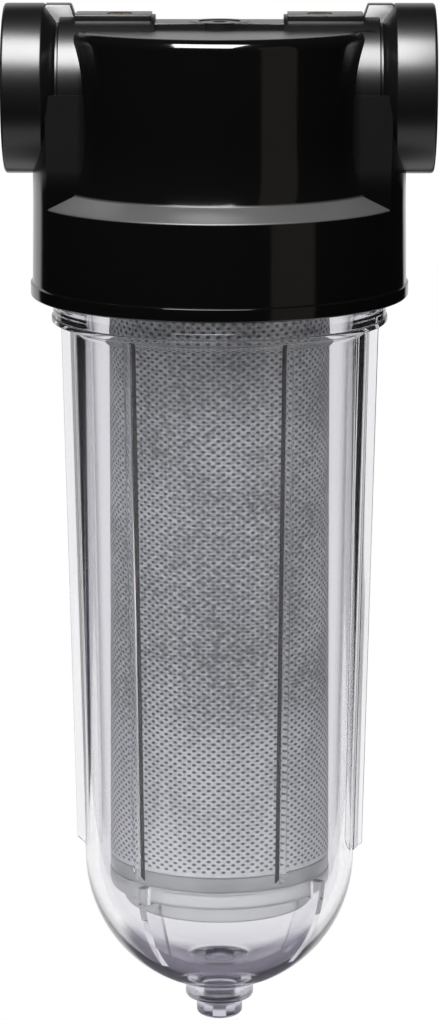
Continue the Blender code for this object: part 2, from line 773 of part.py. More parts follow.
def drain_plug(parts, helpers, material):
    top = STUB_FOOT - SEAT_GAP
    foot = top - DRAIN_HEAD_HEIGHT
    shank = DRAIN_BORE_RADIUS - SEAT_GAP
    profile = [
        (0.0, top + DRAIN_SHANK_LENGTH),
        (shank, top + DRAIN_SHANK_LENGTH),
        (shank, top),
        (DRAIN_HEAD_RADIUS, top),
    ]
    profile += arc(
        (DRAIN_HEAD_RADIUS - DRAIN_HEAD_EDGE, foot + DRAIN_HEAD_EDGE),
        (DRAIN_HEAD_EDGE, DRAIN_HEAD_EDGE),
        0.0,
        -90.0,
    )
    profile += [(0.0, foot)]
    plug = turned("drain_plug", profile, parts, segments=SMALL_SEGMENTS)
    below = foot - DRAIN_SOCKET_DEPTH
    cut(plug, prism("drain_socket", DRAIN_SOCKET_RADIUS, below, foot + DRAIN_SOCKET_DEPTH, helpers))
    return finish(plug, material)


# Cartridge


def blade_mesh(inner, outer, low, high):
    """One blade: a slab cut into steps, then swept round Z so that it leans over towards its foot."""
    slab = bmesh.new()
    bmesh.ops.create_cube(slab, size=1.0)
    upright = [e for e in slab.edges if abs(e.verts[0].co.z - e.verts[1].co.z) > 0.5]
    bmesh.ops.subdivide_edges(slab, edges=upright, cuts=VANE_STEPS - 1, use_grid_fill=True)
    middle = (inner + outer) / 2.0
    for corner in slab.verts:
        radius = inner + (outer - inner) * (corner.co.x + 0.5)
        rise = corner.co.z + 0.5
        lead = VANE_LEAD * (1.0 - rise) ** 2
        angle = (corner.co.y * VANE_THICKNESS - lead) / middle
        height = low + (high - low) * rise
        corner.co = (radius * math.cos(angle), radius * math.sin(angle), height)
    mesh = bpy.data.meshes.new("blade")
    slab.to_mesh(mesh)
    slab.free()
    return mesh


def vane_ring(parts, helpers, material):
    """Hub and shroud joined by blades that start upright and lean over towards their lower edge."""
    hub = [
        (HUB_RADIUS, VANE_TOP),
        (HUB_RADIUS, VANE_FOOT),
        (HUB_RADIUS - HUB_WALL, VANE_FOOT),
        (HUB_RADIUS - HUB_WALL, VANE_TOP),
    ]
    shroud_foot = VANE_FOOT + SHROUD_LIFT
    shroud = [
        (SHROUD_RADIUS, VANE_TOP),
        (SHROUD_RADIUS, shroud_foot),
        (SHROUD_RADIUS - SHROUD_WALL, shroud_foot),
        (SHROUD_RADIUS - SHROUD_WALL, VANE_TOP),
    ]
    ring = turned("vane_ring", hub, parts, ring=True)
    inner = HUB_RADIUS - HUB_WALL / 2.0
    outer = SHROUD_RADIUS - SHROUD_WALL / 2.0
    blade = blade_mesh(inner, outer, shroud_foot + VANE_EDGE, VANE_TOP - VANE_EDGE)
    blades = bmesh.new()
    for _ in range(VANE_COUNT):
        blades.from_mesh(blade)
        blade.transform(Matrix.Rotation(math.tau / VANE_COUNT, 4, "Z"))
    mesh = bpy.data.meshes.new("blades")
    blades.to_mesh(mesh)
    blades.free()
    join(ring, new_object("blades", mesh, helpers))
    join(ring, turned("shroud", shroud, helpers, ring=True))
    return finish(ring, material)


def collar_seal_middle():
    return collar_top() - COLLAR_SEAL_DROP


def collar_top():
    return FLANGE_TOP + COLLAR_TUBE_HEIGHT


def cage_collar(parts, material):
    """Tube that slides on the head's spigot, flange under the vanes, and plug into the cage."""
    groove_half = COLLAR_SEAL_CORD / 2.0 + SEAT_GAP
    groove_floor = COLLAR_BORE + COLLAR_SEAL_CORD + SEAT_GAP
    middle = collar_seal_middle()
    flange_radius = HUB_RADIUS + CAP_FLANGE_REACH
    plug_foot = FLANGE_FOOT - COLLAR_PLUG_HEIGHT
    profile = [
        (COLLAR_TUBE_RADIUS, collar_top()),
        (COLLAR_TUBE_RADIUS, FLANGE_TOP),
        (flange_radius, FLANGE_TOP),
        (flange_radius, FLANGE_FOOT),
        (PLUG_RADIUS, FLANGE_FOOT),
        (PLUG_RADIUS, plug_foot),
        (PLUG_BORE, plug_foot),
        (PLUG_BORE, FLANGE_FOOT),
        (COLLAR_BORE, FLANGE_FOOT),
        (COLLAR_BORE, middle - groove_half),
        (groove_floor, middle - groove_half),
        (groove_floor, middle + groove_half),
        (COLLAR_BORE, middle + groove_half),
        (COLLAR_BORE, collar_top()),
    ]
    return finish(turned("cage_collar", profile, parts, ring=True), material)


def tube(name, outer, inner, high, low, parts, material):
    """A plain tube about Z."""
    profile = [(outer, high), (outer, low), (inner, low), (inner, high)]
    return finish(turned(name, profile, parts, ring=True), material)


def cage(parts, helpers, material):
    """The support tube, with rows of windows between its posts and hoops."""
    profile = [
        (CAGE_RADIUS, CAGE_TOP),
        (CAGE_RADIUS, CAGE_FOOT),
        (CAGE_BORE, CAGE_FOOT),
        (CAGE_BORE, CAGE_TOP),
    ]
    frame = turned("cage", profile, parts, ring=True)
    open_length = CAGE_TOP - CAGE_FOOT - 2.0 * CAGE_END_BAND + HOOP_HEIGHT
    row_pitch = open_length / WINDOW_ROWS
    width = math.tau * CAGE_RADIUS / WINDOW_COLUMNS - POST_WIDTH
    middle = CAGE_RADIUS - CAGE_WALL / 2.0
    size = Matrix.Diagonal((4.0 * CAGE_WALL, width, row_pitch - HOOP_HEIGHT, 1.0))
    windows = bmesh.new()
    for row in range(WINDOW_ROWS):
        height = CAGE_FOOT + CAGE_END_BAND + row_pitch * (row + 0.5) - HOOP_HEIGHT / 2.0
        place = Matrix.Translation((middle, 0.0, height))
        for column in range(WINDOW_COLUMNS):
            turn = Matrix.Rotation(math.tau * (column + 0.5) / WINDOW_COLUMNS, 4, "Z")
            bmesh.ops.create_cube(windows, size=1.0, matrix=turn @ place @ size)
    mesh = bpy.data.meshes.new("windows")
    windows.to_mesh(mesh)
    windows.free()
    cut(frame, new_object("windows", mesh, helpers))
    return finish(frame, material)


def cage_cap(parts, material):
    """End cap: a plug into the cage, a flange that sits on the fins, and a skirt between them."""
    disc_top = CAP_FLANGE_TOP - SEAT_GAP
    disc_foot = disc_top - CAP_DISC
    skirt_foot = CAP_FLANGE_FOOT - CAP_SKIRT_HEIGHT
    spigot_top = CAP_FLANGE_TOP + CAP_SPIGOT_HEIGHT
    profile = [
        (0.0, disc_top),
        (PLUG_BORE, disc_top),
        (PLUG_BORE, spigot_top),
        (PLUG_RADIUS, spigot_top),
        (PLUG_RADIUS, CAP_FLANGE_TOP),
        (CAP_FLANGE_RADIUS, CAP_FLANGE_TOP),
        (CAP_FLANGE_RADIUS, CAP_FLANGE_FOOT),
        (PLUG_RADIUS, CAP_FLANGE_FOOT),
        (PLUG_RADIUS, skirt_foot),
        (PLUG_BORE, skirt_foot),
        (PLUG_BORE, disc_foot),
        (0.0, disc_foot),
    ]
    return finish(turned("cage_cap", profile, parts), material)


def main():
    clear_scene()
    parts = new_collection("centrifugal_filter")
    helpers = new_collection("cutters")

    black = plain_material("head_black", (0.006, 0.006, 0.007), 0.22)
    clear = plain_material("bowl_clear", (0.92, 0.92, 0.96), 0.03, see_through=1.0)
    grey = plain_material("cage_grey", (0.62, 0.66, 0.64), 0.45)
    felt = plain_material("sleeve_felt", (0.52, 0.54, 0.55), 0.9)
    rubber = plain_material("seal_rubber", (0.02, 0.02, 0.02), 0.7)
    brass = plain_material("insert_brass", (0.75, 0.56, 0.26), 0.3, metallic=1.0)

    head_body(parts, helpers, black)
    bracket_insert("bracket_insert_left", -1, parts, brass)
    bracket_insert("bracket_insert_right", 1, parts, brass)
    port_gasket("inlet_gasket", -1, parts, rubber)
    port_gasket("outlet_gasket", 1, parts, rubber)
    vent_plug(parts, helpers, black)
    vent_inner = VENT_SHANK_RADIUS + SEAT_GAP
    seal_ring(
        "vent_o_ring", vent_inner, VENT_SEAL_CORD, vent_seal_middle(), parts, rubber, SMALL_SEGMENTS
    )

    bowl(parts, helpers, clear)
    bowl_inner = LAND_RADIUS - SEAT_GAP - BOWL_SEAL_CORD
    seal_ring("bowl_o_ring", bowl_inner, BOWL_SEAL_CORD, bowl_seal_middle(), parts, rubber)
    drain_plug(parts, helpers, clear)
    drain_middle = STUB_FOOT + DRAIN_SEAL_CORD / 2.0
    seal_ring(
        "drain_o_ring", DRAIN_BORE_RADIUS, DRAIN_SEAL_CORD, drain_middle, parts, rubber, SMALL_SEGMENTS
    )

    vane_ring(parts, helpers, grey)
    cage_collar(parts, grey)
    seal_ring("collar_seal", COLLAR_BORE, COLLAR_SEAL_CORD, collar_seal_middle(), parts, rubber)
    cage(parts, helpers, grey)
    cage_cap(parts, grey)
    sleeve_bore = SLEEVE_RADIUS - SLEEVE_WALL
    tube("filter_sleeve", SLEEVE_RADIUS, sleeve_bore, CAGE_TOP, SLEEVE_FOOT, parts, felt)
    clamp_bore = SLEEVE_RADIUS + SEAT_GAP
    upper_foot = CAGE_TOP - UPPER_CLAMP_HEIGHT
    tube("upper_clamp_ring", clamp_bore + CLAMP_WALL, clamp_bore, CAGE_TOP, upper_foot, parts, grey)
    tube("lower_clamp_ring", SLEEVE_RADIUS, sleeve_bore, LOWER_CLAMP_TOP, CAGE_FOOT, parts, grey)


main()
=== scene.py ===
# %% [markdown]
# A centrifugal water filter, dressed for the camera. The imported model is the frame: it says where
# every piece sits and what it moves with. This script gives each visible piece its fine surface.
# %% Load the frame
import math

import bmesh
import bpy
from mathutils import Matrix, Vector


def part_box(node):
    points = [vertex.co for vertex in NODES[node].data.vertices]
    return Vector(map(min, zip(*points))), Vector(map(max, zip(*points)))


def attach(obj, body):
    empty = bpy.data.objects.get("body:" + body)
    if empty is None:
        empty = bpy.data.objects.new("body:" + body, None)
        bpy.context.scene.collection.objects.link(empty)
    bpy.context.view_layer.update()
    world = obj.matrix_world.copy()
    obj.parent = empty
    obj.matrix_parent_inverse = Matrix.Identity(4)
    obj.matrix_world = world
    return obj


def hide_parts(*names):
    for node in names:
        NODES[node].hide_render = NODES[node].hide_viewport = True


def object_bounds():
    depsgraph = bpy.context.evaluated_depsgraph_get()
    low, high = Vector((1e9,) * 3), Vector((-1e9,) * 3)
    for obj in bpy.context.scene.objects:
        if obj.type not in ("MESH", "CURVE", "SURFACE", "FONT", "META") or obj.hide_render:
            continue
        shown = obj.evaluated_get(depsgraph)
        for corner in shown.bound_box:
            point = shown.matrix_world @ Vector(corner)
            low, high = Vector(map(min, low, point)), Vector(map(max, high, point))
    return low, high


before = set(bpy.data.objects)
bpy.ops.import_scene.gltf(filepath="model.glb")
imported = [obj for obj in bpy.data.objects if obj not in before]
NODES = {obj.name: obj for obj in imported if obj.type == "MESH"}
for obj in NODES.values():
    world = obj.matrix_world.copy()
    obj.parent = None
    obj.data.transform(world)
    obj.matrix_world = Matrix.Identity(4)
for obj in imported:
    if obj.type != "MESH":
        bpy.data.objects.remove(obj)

MM = 0.001
CAD_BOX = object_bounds()

# %% [markdown]
# The camera stands in front and a little above, on a long lens, so the filter keeps nearly parallel
# sides. It looks at the middle of the bowl from slightly to the right of the front.
# %% Camera
LONG_SIDE_MM = 36.0
LENS_MM = 127.06
CAMERA_DISTANCE = 1.214
CAMERA_PITCH = math.radians(12.44)
CAMERA_AZIMUTH = math.radians(0.5)
AIM = Vector((0.0, 0.0, -0.142))

camera_data = bpy.data.cameras.new("camera")
camera_data.lens = LENS_MM
camera_data.sensor_width = LONG_SIDE_MM
camera = bpy.data.objects.new("camera", camera_data)
bpy.context.scene.collection.objects.link(camera)
back = Vector((
    math.sin(CAMERA_AZIMUTH) * math.cos(CAMERA_PITCH),
    -math.cos(CAMERA_AZIMUTH) * math.cos(CAMERA_PITCH),
    math.sin(CAMERA_PITCH),
))
camera.location = AIM + back * CAMERA_DISTANCE
camera.rotation_euler = (-back).to_track_quat("-Z", "Y").to_euler()
bpy.context.scene.camera = camera
print("camera at", [round(value, 3) for value in camera.location])

# %% [markdown]
# Most pieces are turned on a lathe or moulded in a round tool, so one helper spins an outline of
# radius and height round Z. Computing the rings directly gives even quads with a clean silhouette,
# which a glossy surface needs more than anything else.
# %% Shape helpers
FINE = 192
MEDIUM = 96
SMALL = 48
SMOOTH_ANGLE = math.radians(32.0)


def add_object(name, mesh):
    made = bpy.data.objects.new(name, mesh)
    bpy.context.scene.collection.objects.link(made)
    return made


def shade(obj, angle=SMOOTH_ANGLE):
    obj.data.shade_smooth()
    obj.data.set_sharp_from_angle(angle=angle)
    return obj


def arc(centre, radii, start, end, steps=8):
    """Points (radius, height) along part of an ellipse, from one angle to another in degrees."""
    points = []
    for step in range(steps + 1):
        angle = math.radians(start + (end - start) * step / steps)
        points.append((
            centre[0] + radii[0] * math.cos(angle),
            centre[1] + radii[1] * math.sin(angle),
        ))
    return points


def lathe(name, outline, segments=FINE, ring=False):
    """A closed turned solid from points that run down its outer side. A ring's outline closes on itself."""
    shape = bmesh.new()
    rings = []
    for radius, height in outline:
        if radius < 1e-7:
            rings.append([shape.verts.new((0.0, 0.0, height))] * segments)
            continue
        rings.append([
            shape.verts.new((
                radius * math.cos(math.tau * step / segments),
                radius * math.sin(math.tau * step / segments),
                height,
            ))
            for step in range(segments)
        ])
    pairs = list(zip(rings, rings[1:]))
    if ring:
        pairs.append((rings[-1], rings[0]))
    for above, below in pairs:
        for step in range(segments):
            after = (step + 1) % segments
            corners = [above[step], below[step], below[after], above[after]]
            corners = list(dict.fromkeys(corners))
            if len(corners) > 2:
                shape.faces.new(corners)
    mesh = bpy.data.meshes.new(name)
    shape.to_mesh(mesh)
    shape.free()
    return add_object(name, mesh)


def place(obj, matrix):
    """Moves a piece by changing its mesh, so the object itself stays at the origin."""
    obj.data.transform(matrix)
    if matrix.determinant() < 0.0:
        obj.data.flip_normals()
    return obj


def facing_x(obj, side):
    """Turns a piece made about Z so that its top points along X, to the port on this side."""
    return place(obj, Matrix.Rotation(side * math.radians(90.0), 4, "Y"))


def block(name, low, high, top_inset=(0.0, 0.0), edge=0.0, segments=3):
    """A box whose top is narrower by top_inset on each side, with rounded edges."""
    low = Vector(low)
    high = Vector(high)
    half = (high - low) / 2.0
    middle = (high + low) / 2.0
    shape = bmesh.new()
    bmesh.ops.create_cube(shape, size=2.0)
    for corner in shape.verts:
        inset = Vector((*top_inset, 0.0)) if corner.co.z > 0.0 else Vector()
        corner.co = middle + Vector(a * b for a, b in zip(corner.co, half - inset))
    if edge:
        bmesh.ops.bevel(
            shape, geom=shape.edges, offset=edge, segments=segments, profile=0.5, affect="EDGES"
        )
    mesh = bpy.data.meshes.new(name)
    shape.to_mesh(mesh)
    shape.free()
    return add_object(name, mesh)


def plate(name, outline, thickness, angle, edge=0.0, segments=2):
    """A flat plate on a plane through Z, cut to (radius, height) points, with rounded edges."""
    shape = bmesh.new()
    front = [shape.verts.new((r, -thickness / 2.0, z)) for r, z in outline]
    back_side = [shape.verts.new((r, thickness / 2.0, z)) for r, z in outline]
    shape.faces.new(front)
    shape.faces.new(reversed(back_side))
    count = len(outline)
    for index in range(count):
        after = (index + 1) % count
        shape.faces.new((front[after], front[index], back_side[index], back_side[after]))
    bmesh.ops.recalc_face_normals(shape, faces=shape.faces)
    if edge:
        rims = [e for e in shape.edges if e.calc_face_angle(0.0) > math.radians(60.0)]
        bmesh.ops.bevel(shape, geom=rims, offset=edge, segments=segments, profile=0.5, affect="EDGES")
    bmesh.ops.rotate(shape, verts=shape.verts, matrix=Matrix.Rotation(angle, 3, "Z"))
    mesh = bpy.data.meshes.new(name)
    shape.to_mesh(mesh)
    shape.free()
    return add_object(name, mesh)


def combine(obj, tool, operation):
    """Joins, cuts or intersects with another closed shape, and uses that shape up."""
    step = obj.modifiers.new("combine", "BOOLEAN")
    step.operation = operation
    step.solver = "EXACT"
    step.object = tool
    bpy.context.view_layer.update()
    graph = bpy.context.evaluated_depsgraph_get()
    mesh = bpy.data.meshes.new_from_object(obj.evaluated_get(graph))
    obj.modifiers.clear()
    obj.data = mesh
    bpy.data.objects.remove(tool, do_unlink=True)
    return obj


print("helpers ready")

# %% [markdown]
# Each finish is its own small node tree. All patterns read Object coordinates, because every piece
# keeps its place in its mesh. Uniform numbers stay on the shader's own sockets.
# %% Material helpers


def principled(name, colour, roughness, **settings):
    made = bpy.data.materials.new(name)
    made.use_nodes = True
    shader = made.node_tree.nodes["Principled BSDF"]
    shader.inputs["Base Color"].default_value = (*colour, 1.0)
    shader.inputs["Roughness"].default_value = roughness
    for key, value in settings.items():
        shader.inputs[key.replace("_", " ")].default_value = value
    return made


def node(material, kind, **inputs):
    made = material.node_tree.nodes.new(kind)
    for key, value in inputs.items():
        made.inputs[key.replace("_", " ")].default_value = value
    return made


def wire(material, source, target):
    material.node_tree.links.new(source, target)


def noise(material, scale, detail=3.0, stretch=(1.0, 1.0, 1.0)):
    """Noise on Object coordinates. Returns its value between 0 and 1."""
    where = node(material, "ShaderNodeTexCoord")
    squeeze = node(material, "ShaderNodeMapping", Scale=stretch)
    cloud = node(material, "ShaderNodeTexNoise", Scale=scale, Detail=detail)
    wire(material, where.outputs["Object"], squeeze.inputs["Vector"])
    wire(material, squeeze.outputs["Vector"], cloud.inputs["Vector"])
    return cloud.outputs["Fac"]


def spread(material, value, low, high):
    """Maps 0..1 to low..high."""
    mapped = node(material, "ShaderNodeMapRange", To_Min=low, To_Max=high)
    wire(material, value, mapped.inputs["Value"])
    return mapped.outputs["Result"]


def blend_colours(material, value, first, second, start=0.0, end=1.0):
    ramp = material.node_tree.nodes.new("ShaderNodeValToRGB")
    ramp.color_ramp.elements[0].position = start
    ramp.color_ramp.elements[1].position = end
    ramp.color_ramp.elements[0].color = (*first, 1.0)
    ramp.color_ramp.elements[1].color = (*second, 1.0)
    wire(material, value, ramp.inputs["Fac"])
    return ramp.outputs["Color"]


def bump(material, value, strength, distance):
    made = node(material, "ShaderNodeBump", Strength=strength, Distance=distance)
    wire(material, value, made.inputs["Height"])
    shader = material.node_tree.nodes["Principled BSDF"]
    wire(material, made.outputs["Normal"], shader.inputs["Normal"])


def shader_of(material):
    return material.node_tree.nodes["Principled BSDF"]


def sum_of(material, operation, first, second):
    """Two values through one arithmetic node."""
    made = material.node_tree.nodes.new("ShaderNodeMath")
    made.operation = operation
    for socket, value in zip(made.inputs, (first, second)):
        if isinstance(value, (int, float)):
            socket.default_value = value
        else:
            wire(material, value, socket)
    return made.outputs["Value"]


def zone(material, axis, start, end, source="Object"):
    """0 before start and 1 after end along one axis of the object or of its normal, soft between them."""
    where = node(material, "ShaderNodeTexCoord")
    parts = node(material, "ShaderNodeSeparateXYZ")
    wire(material, where.outputs[source], parts.inputs["Vector"])
    distance = parts.outputs[axis]
    if axis in "XY":
        distance = sum_of(material, "ABSOLUTE", distance, 0.0)
    mapped = node(material, "ShaderNodeMapRange", From_Min=start, From_Max=end)
    wire(material, distance, mapped.inputs["Value"])
    return mapped.outputs["Result"]


# %% [markdown]
# The head is black moulded plastic: glossy, with a very faint waviness from the mould and some
# handling haze that only shows in the reflections.
# %% Finishes
HEAD_COLOUR = (0.0012, 0.0012, 0.0013)
LEDGE_COLOUR = (0.03, 0.03, 0.03)
NECKS_OUT = 40.0 * MM
NECKS_UP = -32.0 * MM
BAND_FOOT = -37.5 * MM
BAND_TOP = -31.6 * MM
BAND_OUT = 25.5 * MM
TOP_SATIN = 19.2 * MM
STUB_STARTS = -304.0 * MM
STUB_WHOLE = -314.0 * MM
# Painted light on the sleeve: from here down, its colour goes toward a pale grey.
PAINTED_LIGHT_FROM = -200.0 * MM
PAINTED_LIGHT_FULL = -285.0 * MM


# The port necks and the top are satin, the sloping ledge has a matt texture, the rest is polished.
def black_plastic():
    made = principled("head_black", HEAD_COLOUR, 0.14, IOR=1.5)
    shader = shader_of(made)
    haze = spread(made, noise(made, 60.0), 0.06, 0.12)
    necks_out = zone(made, "X", NECKS_OUT, NECKS_OUT + 6.0 * MM)
    ports = sum_of(made, "MULTIPLY", necks_out, zone(made, "Z", NECKS_UP, NECKS_UP + 8.0 * MM))
    above = zone(made, "Z", BAND_FOOT, BAND_FOOT + 0.7 * MM)
    below = zone(made, "Z", BAND_TOP, BAND_TOP - 0.7 * MM)
    upward = zone(made, "Z", 0.1, 0.3, "Normal")
    outside = sum_of(made, "MULTIPLY", zone(made, "Y", BAND_OUT, BAND_OUT + 2.0 * MM), upward)
    ledge = sum_of(made, "MULTIPLY", sum_of(made, "MULTIPLY", above, below), outside)
    satin = sum_of(made, "MAXIMUM", ports, zone(made, "Z", TOP_SATIN, TOP_SATIN + 0.8 * MM))
    satin = sum_of(made, "ADD", sum_of(made, "MULTIPLY", satin, 0.23), sum_of(made, "MULTIPLY", ledge, 0.28))
    wire(made, sum_of(made, "ADD", haze, satin), shader.inputs["Roughness"])
    wire(made, blend_colours(made, ledge, HEAD_COLOUR, LEDGE_COLOUR), shader.inputs["Base Color"])
    grain = sum_of(made, "MULTIPLY", noise(made, 2200.0, detail=2.0), satin)
    wave = sum_of(made, "ADD", noise(made, 300.0, detail=1.0), grain)
    bump(made, wave, 0.04, 0.0001)
    return made


def clear_plastic(name, tint, roughness=0.02):
    """Clear, with flow lines from the mould. Towards the drain stub it is rougher and carries a painted shade:
    its tint goes darker and more violet.
    """
    made = principled(name, tint, roughness, IOR=1.5)
    shader = shader_of(made)
    shader.inputs["Transmission Weight"].default_value = 0.985
    flow = spread(made, noise(made, 35.0, stretch=(1.0, 1.0, 0.12)), roughness * 0.5, roughness * 2.0)
    stub = zone(made, "Z", STUB_STARTS, STUB_WHOLE)
    wire(made, sum_of(made, "ADD", flow, sum_of(made, "MULTIPLY", stub, 0.16)), shader.inputs["Roughness"])
    # Painted shade: towards the drain stub the tint goes darker and more violet.
    stub_shade = tuple(channel * share for channel, share in zip(tint, (0.7, 0.68, 0.76)))
    wire(made, blend_colours(made, stub, tint, stub_shade), shader.inputs["Base Color"])
    return made


def pale_plastic():
    made = principled("cage_grey", (0.9, 0.92, 0.915), 0.3, IOR=1.46)
    shader = shader_of(made)
    shader.inputs["Transmission Weight"].default_value = 0.72
    cloudy = blend_colours(made, noise(made, 120.0), (0.88, 0.91, 0.9), (0.93, 0.95, 0.945))
    wire(made, cloudy, shader.inputs["Base Color"])
    bump(made, noise(made, 1500.0), 0.08, 0.0001)
    return made


def painted_light_below(material, colour, grey):
    """Painted light: toward the sleeve's foot its colour goes to one pale grey, as if it were lit more brightly
    there.
    """
    mix = node(material, "ShaderNodeMix")
    mix.data_type = "RGBA"
    mix.inputs["B"].default_value = (grey, grey * 1.02, grey * 1.04, 1.0)
    wire(material, zone(material, "Z", PAINTED_LIGHT_FROM, PAINTED_LIGHT_FULL), mix.inputs["Factor"])
    wire(material, colour, mix.inputs["A"])
    return mix.outputs["Result"]


def felt():
    made = principled("sleeve_felt", (0.4, 0.42, 0.43), 0.85)
    shader = shader_of(made)
    shader.inputs["Sheen Weight"].default_value = 0.2
    shader.inputs["Sheen Roughness"].default_value = 0.5
    fibres = sum_of(made, "MULTIPLY", noise(made, 650.0, detail=5.0, stretch=(1.0, 1.0, 1.6)), 0.6)
    clouds = sum_of(made, "MULTIPLY", noise(made, 40.0, detail=4.0), 0.4)
    mixed = sum_of(made, "ADD", fibres, clouds)
    patches = blend_colours(made, mixed, (0.16, 0.168, 0.172), (0.57, 0.595, 0.605), 0.38, 0.62)
    # Painted light: the cloth goes paler toward its foot.
    wire(made, painted_light_below(made, patches, 0.88), shader.inputs["Base Color"])
    bump(made, noise(made, 2600.0, detail=4.0), 0.5, 0.0004)
    return made


def pressed_felt():
    made = principled("sleeve_dots", (0.05, 0.055, 0.06), 0.6)
    shader = shader_of(made)
    patches = blend_colours(made, noise(made, 500.0, detail=4.0), (0.0, 0.0, 0.0), (0.1, 0.11, 0.115))
    # Painted light: the dots also go paler toward the foot.
    wire(made, painted_light_below(made, patches, 0.2), shader.inputs["Base Color"])
    return made


def rubber():
    made = principled("seal_rubber", (0.015, 0.015, 0.016), 0.6)
    shader = shader_of(made)
    wire(made, spread(made, noise(made, 300.0), 0.5, 0.75), shader.inputs["Roughness"])
    bump(made, noise(made, 2500.0), 0.15, 0.0001)
    return made


def turned_brass():
    made = principled("insert_brass", (0.62, 0.42, 0.14), 0.25, Metallic=1.0)
    shader = shader_of(made)
    wire(made, spread(made, noise(made, 900.0, stretch=(1.0, 1.0, 8.0)), 0.18, 0.4), shader.inputs["Roughness"])
    return made


BLACK = black_plastic()
CLEAR = clear_plastic("bowl_clear", (0.9, 0.895, 0.92))
PALE = pale_plastic()
FELT = felt()
DOTS = pressed_felt()
RUBBER = rubber()
BRASS = turned_brass()
print("finishes:", len(bpy.data.materials))


def dress(obj, material, body, slot, *nodes):
    """Finishes a piece: material, body and the CAD nodes that it stands for. The slot argument is not used."""
    obj.data.materials.clear()
    obj.data.materials.append(material)
    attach(obj, body)
    if nodes:
        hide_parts(*nodes)
    return obj


# %% [markdown]
# The head first. Its sizes are those of the frame: the round upper body flares out to a sloping
# ledge, and a deep skirt with a bead at its mouth hangs below. The outline is spun, the port necks
# and collars are spun about X, and the webs below them end on the skirt's own cylinder.
# %% Head: sizes
HEAD_RADIUS = 50.2 * MM
HEAD_TOP = 19.9 * MM
HEAD_EDGE = 3.75 * MM
REAR_STEP = 1.8 * MM
FLARE_TOP = -12.0 * MM
FLARE_HEIGHT = 20.4 * MM
FLARE_REACH = 3.8 * MM
FLARE_TURN = 50
LEDGE_RADIUS = HEAD_RADIUS + FLARE_REACH
LEDGE_TOP = FLARE_TOP - FLARE_HEIGHT
LEDGE_FOOT = LEDGE_TOP - 4.7 * MM
SKIRT_RADIUS = LEDGE_RADIUS + 7.6 * MM
SKIRT_FOOT_RADIUS = SKIRT_RADIUS + 0.4 * MM
MOUTH = -68.0 * MM
BEAD_HEIGHT = 4.5 * MM
BEAD_REACH = 0.7 * MM
BORE_RADIUS = SKIRT_RADIUS - 4.3 * MM
LAND_RADIUS = BORE_RADIUS - 1.7 * MM
LAND = MOUTH + 22.4 * MM
ROOF = LAND + 5.6 * MM
SPIGOT_RADIUS = 21.0 * MM
SPIGOT_BORE = 15.0 * MM
SPIGOT_FOOT = ROOF - 18.0 * MM
PORT_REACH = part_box("head_body")[1].x
PORT_BORE = 19.5 * MM
PORT_DEPTH = 19.0 * MM
THROAT = 14.5 * MM
COLLAR_RADIUS = 27.8 * MM
NECK_RADIUS = 24.2 * MM
COLLAR_LENGTH = 12.6 * MM
COLLAR_CONE = 4.8 * MM
BAR_HALF = 8.7 * MM
BAR_TOP = HEAD_TOP + 2.0 * MM
PAD_TOP = BAR_TOP + 2.6 * MM
PAD_START = 22.2 * MM
BLOCK_START = 46.1 * MM
INSERT_REACH = 32.7 * MM
INSERT_HOLE = 4.3 * MM
BOSS_RADIUS = 9.9 * MM
BOSS_TOP = BAR_TOP + 0.1 * MM
DUCT_REACH = 36.0 * MM
DUCT_RADIUS = 10.0 * MM
print("port reach", round(PORT_REACH / MM, 2), "mm")


# %% Head: the spun outside and the room below
def head_outside():
    bead = SKIRT_FOOT_RADIUS + BEAD_REACH
    round_edge = 0.8 * MM
    outline = [(0.0, HEAD_TOP)]
    outline += arc((HEAD_RADIUS - HEAD_EDGE, HEAD_TOP - HEAD_EDGE), (HEAD_EDGE, HEAD_EDGE), 90, 0, 10)
    turn = math.radians(FLARE_TURN)
    flare = (FLARE_REACH / (1.0 - math.cos(turn)), FLARE_HEIGHT / math.sin(turn))
    outline += arc((HEAD_RADIUS + flare[0], FLARE_TOP), flare, 180, 180 + FLARE_TURN, 14)
    outline += arc((SKIRT_RADIUS - round_edge, LEDGE_FOOT), (round_edge, round_edge), 60, 0, 4)
    outline += [
        (SKIRT_FOOT_RADIUS, MOUTH + BEAD_HEIGHT + 0.3 * MM),
        (SKIRT_FOOT_RADIUS + 0.3 * MM, MOUTH + BEAD_HEIGHT),
        (bead, MOUTH + BEAD_HEIGHT - 0.2 * MM),
    ]
    outline += arc((bead - round_edge, MOUTH + round_edge), (round_edge, round_edge), 0, -90, 5)
    outline += [(0.0, MOUTH)]
    return lathe("head", outline)


def head_room():
    below = MOUTH - 5.0 * MM
    lead = 0.8 * MM
    outline = [
        (0.0, SPIGOT_FOOT),
        (SPIGOT_RADIUS - lead, SPIGOT_FOOT),
        (SPIGOT_RADIUS, SPIGOT_FOOT + lead),
        (SPIGOT_RADIUS, ROOF),
        (LAND_RADIUS, ROOF),
        (LAND_RADIUS, LAND),
        (BORE_RADIUS, LAND),
        (BORE_RADIUS, MOUTH + lead),
        (BORE_RADIUS + lead, MOUTH),
        (BORE_RADIUS + lead, below),
        (0.0, below),
    ]
    return lathe("room", outline)


def rod(name, radius, low, high, segments=MEDIUM):
    return lathe(name, [(0.0, high), (radius, high), (radius, low), (0.0, low)], segments)


def port_outside(side):
    cone = PORT_REACH - COLLAR_LENGTH - COLLAR_CONE
    edge = 1.0 * MM
    outline = [(0.0, PORT_REACH)]
    outline += arc((COLLAR_RADIUS - edge, PORT_REACH - edge), (edge, edge), 90, 0, 6)
    outline += arc(
        (COLLAR_RADIUS - edge, PORT_REACH - COLLAR_LENGTH), (edge, edge), 0, -40, 4
    )
    outline += [
        (NECK_RADIUS - 1.6 * MM, cone),
        (NECK_RADIUS - 1.6 * MM, cone - 0.6 * MM),
        (NECK_RADIUS - 0.3 * MM, cone - 0.8 * MM),
        (NECK_RADIUS, cone - 1.1 * MM),
        (NECK_RADIUS, SPIGOT_RADIUS),
        (0.0, SPIGOT_RADIUS),
    ]
    return facing_x(lathe("port", outline, 144), side)


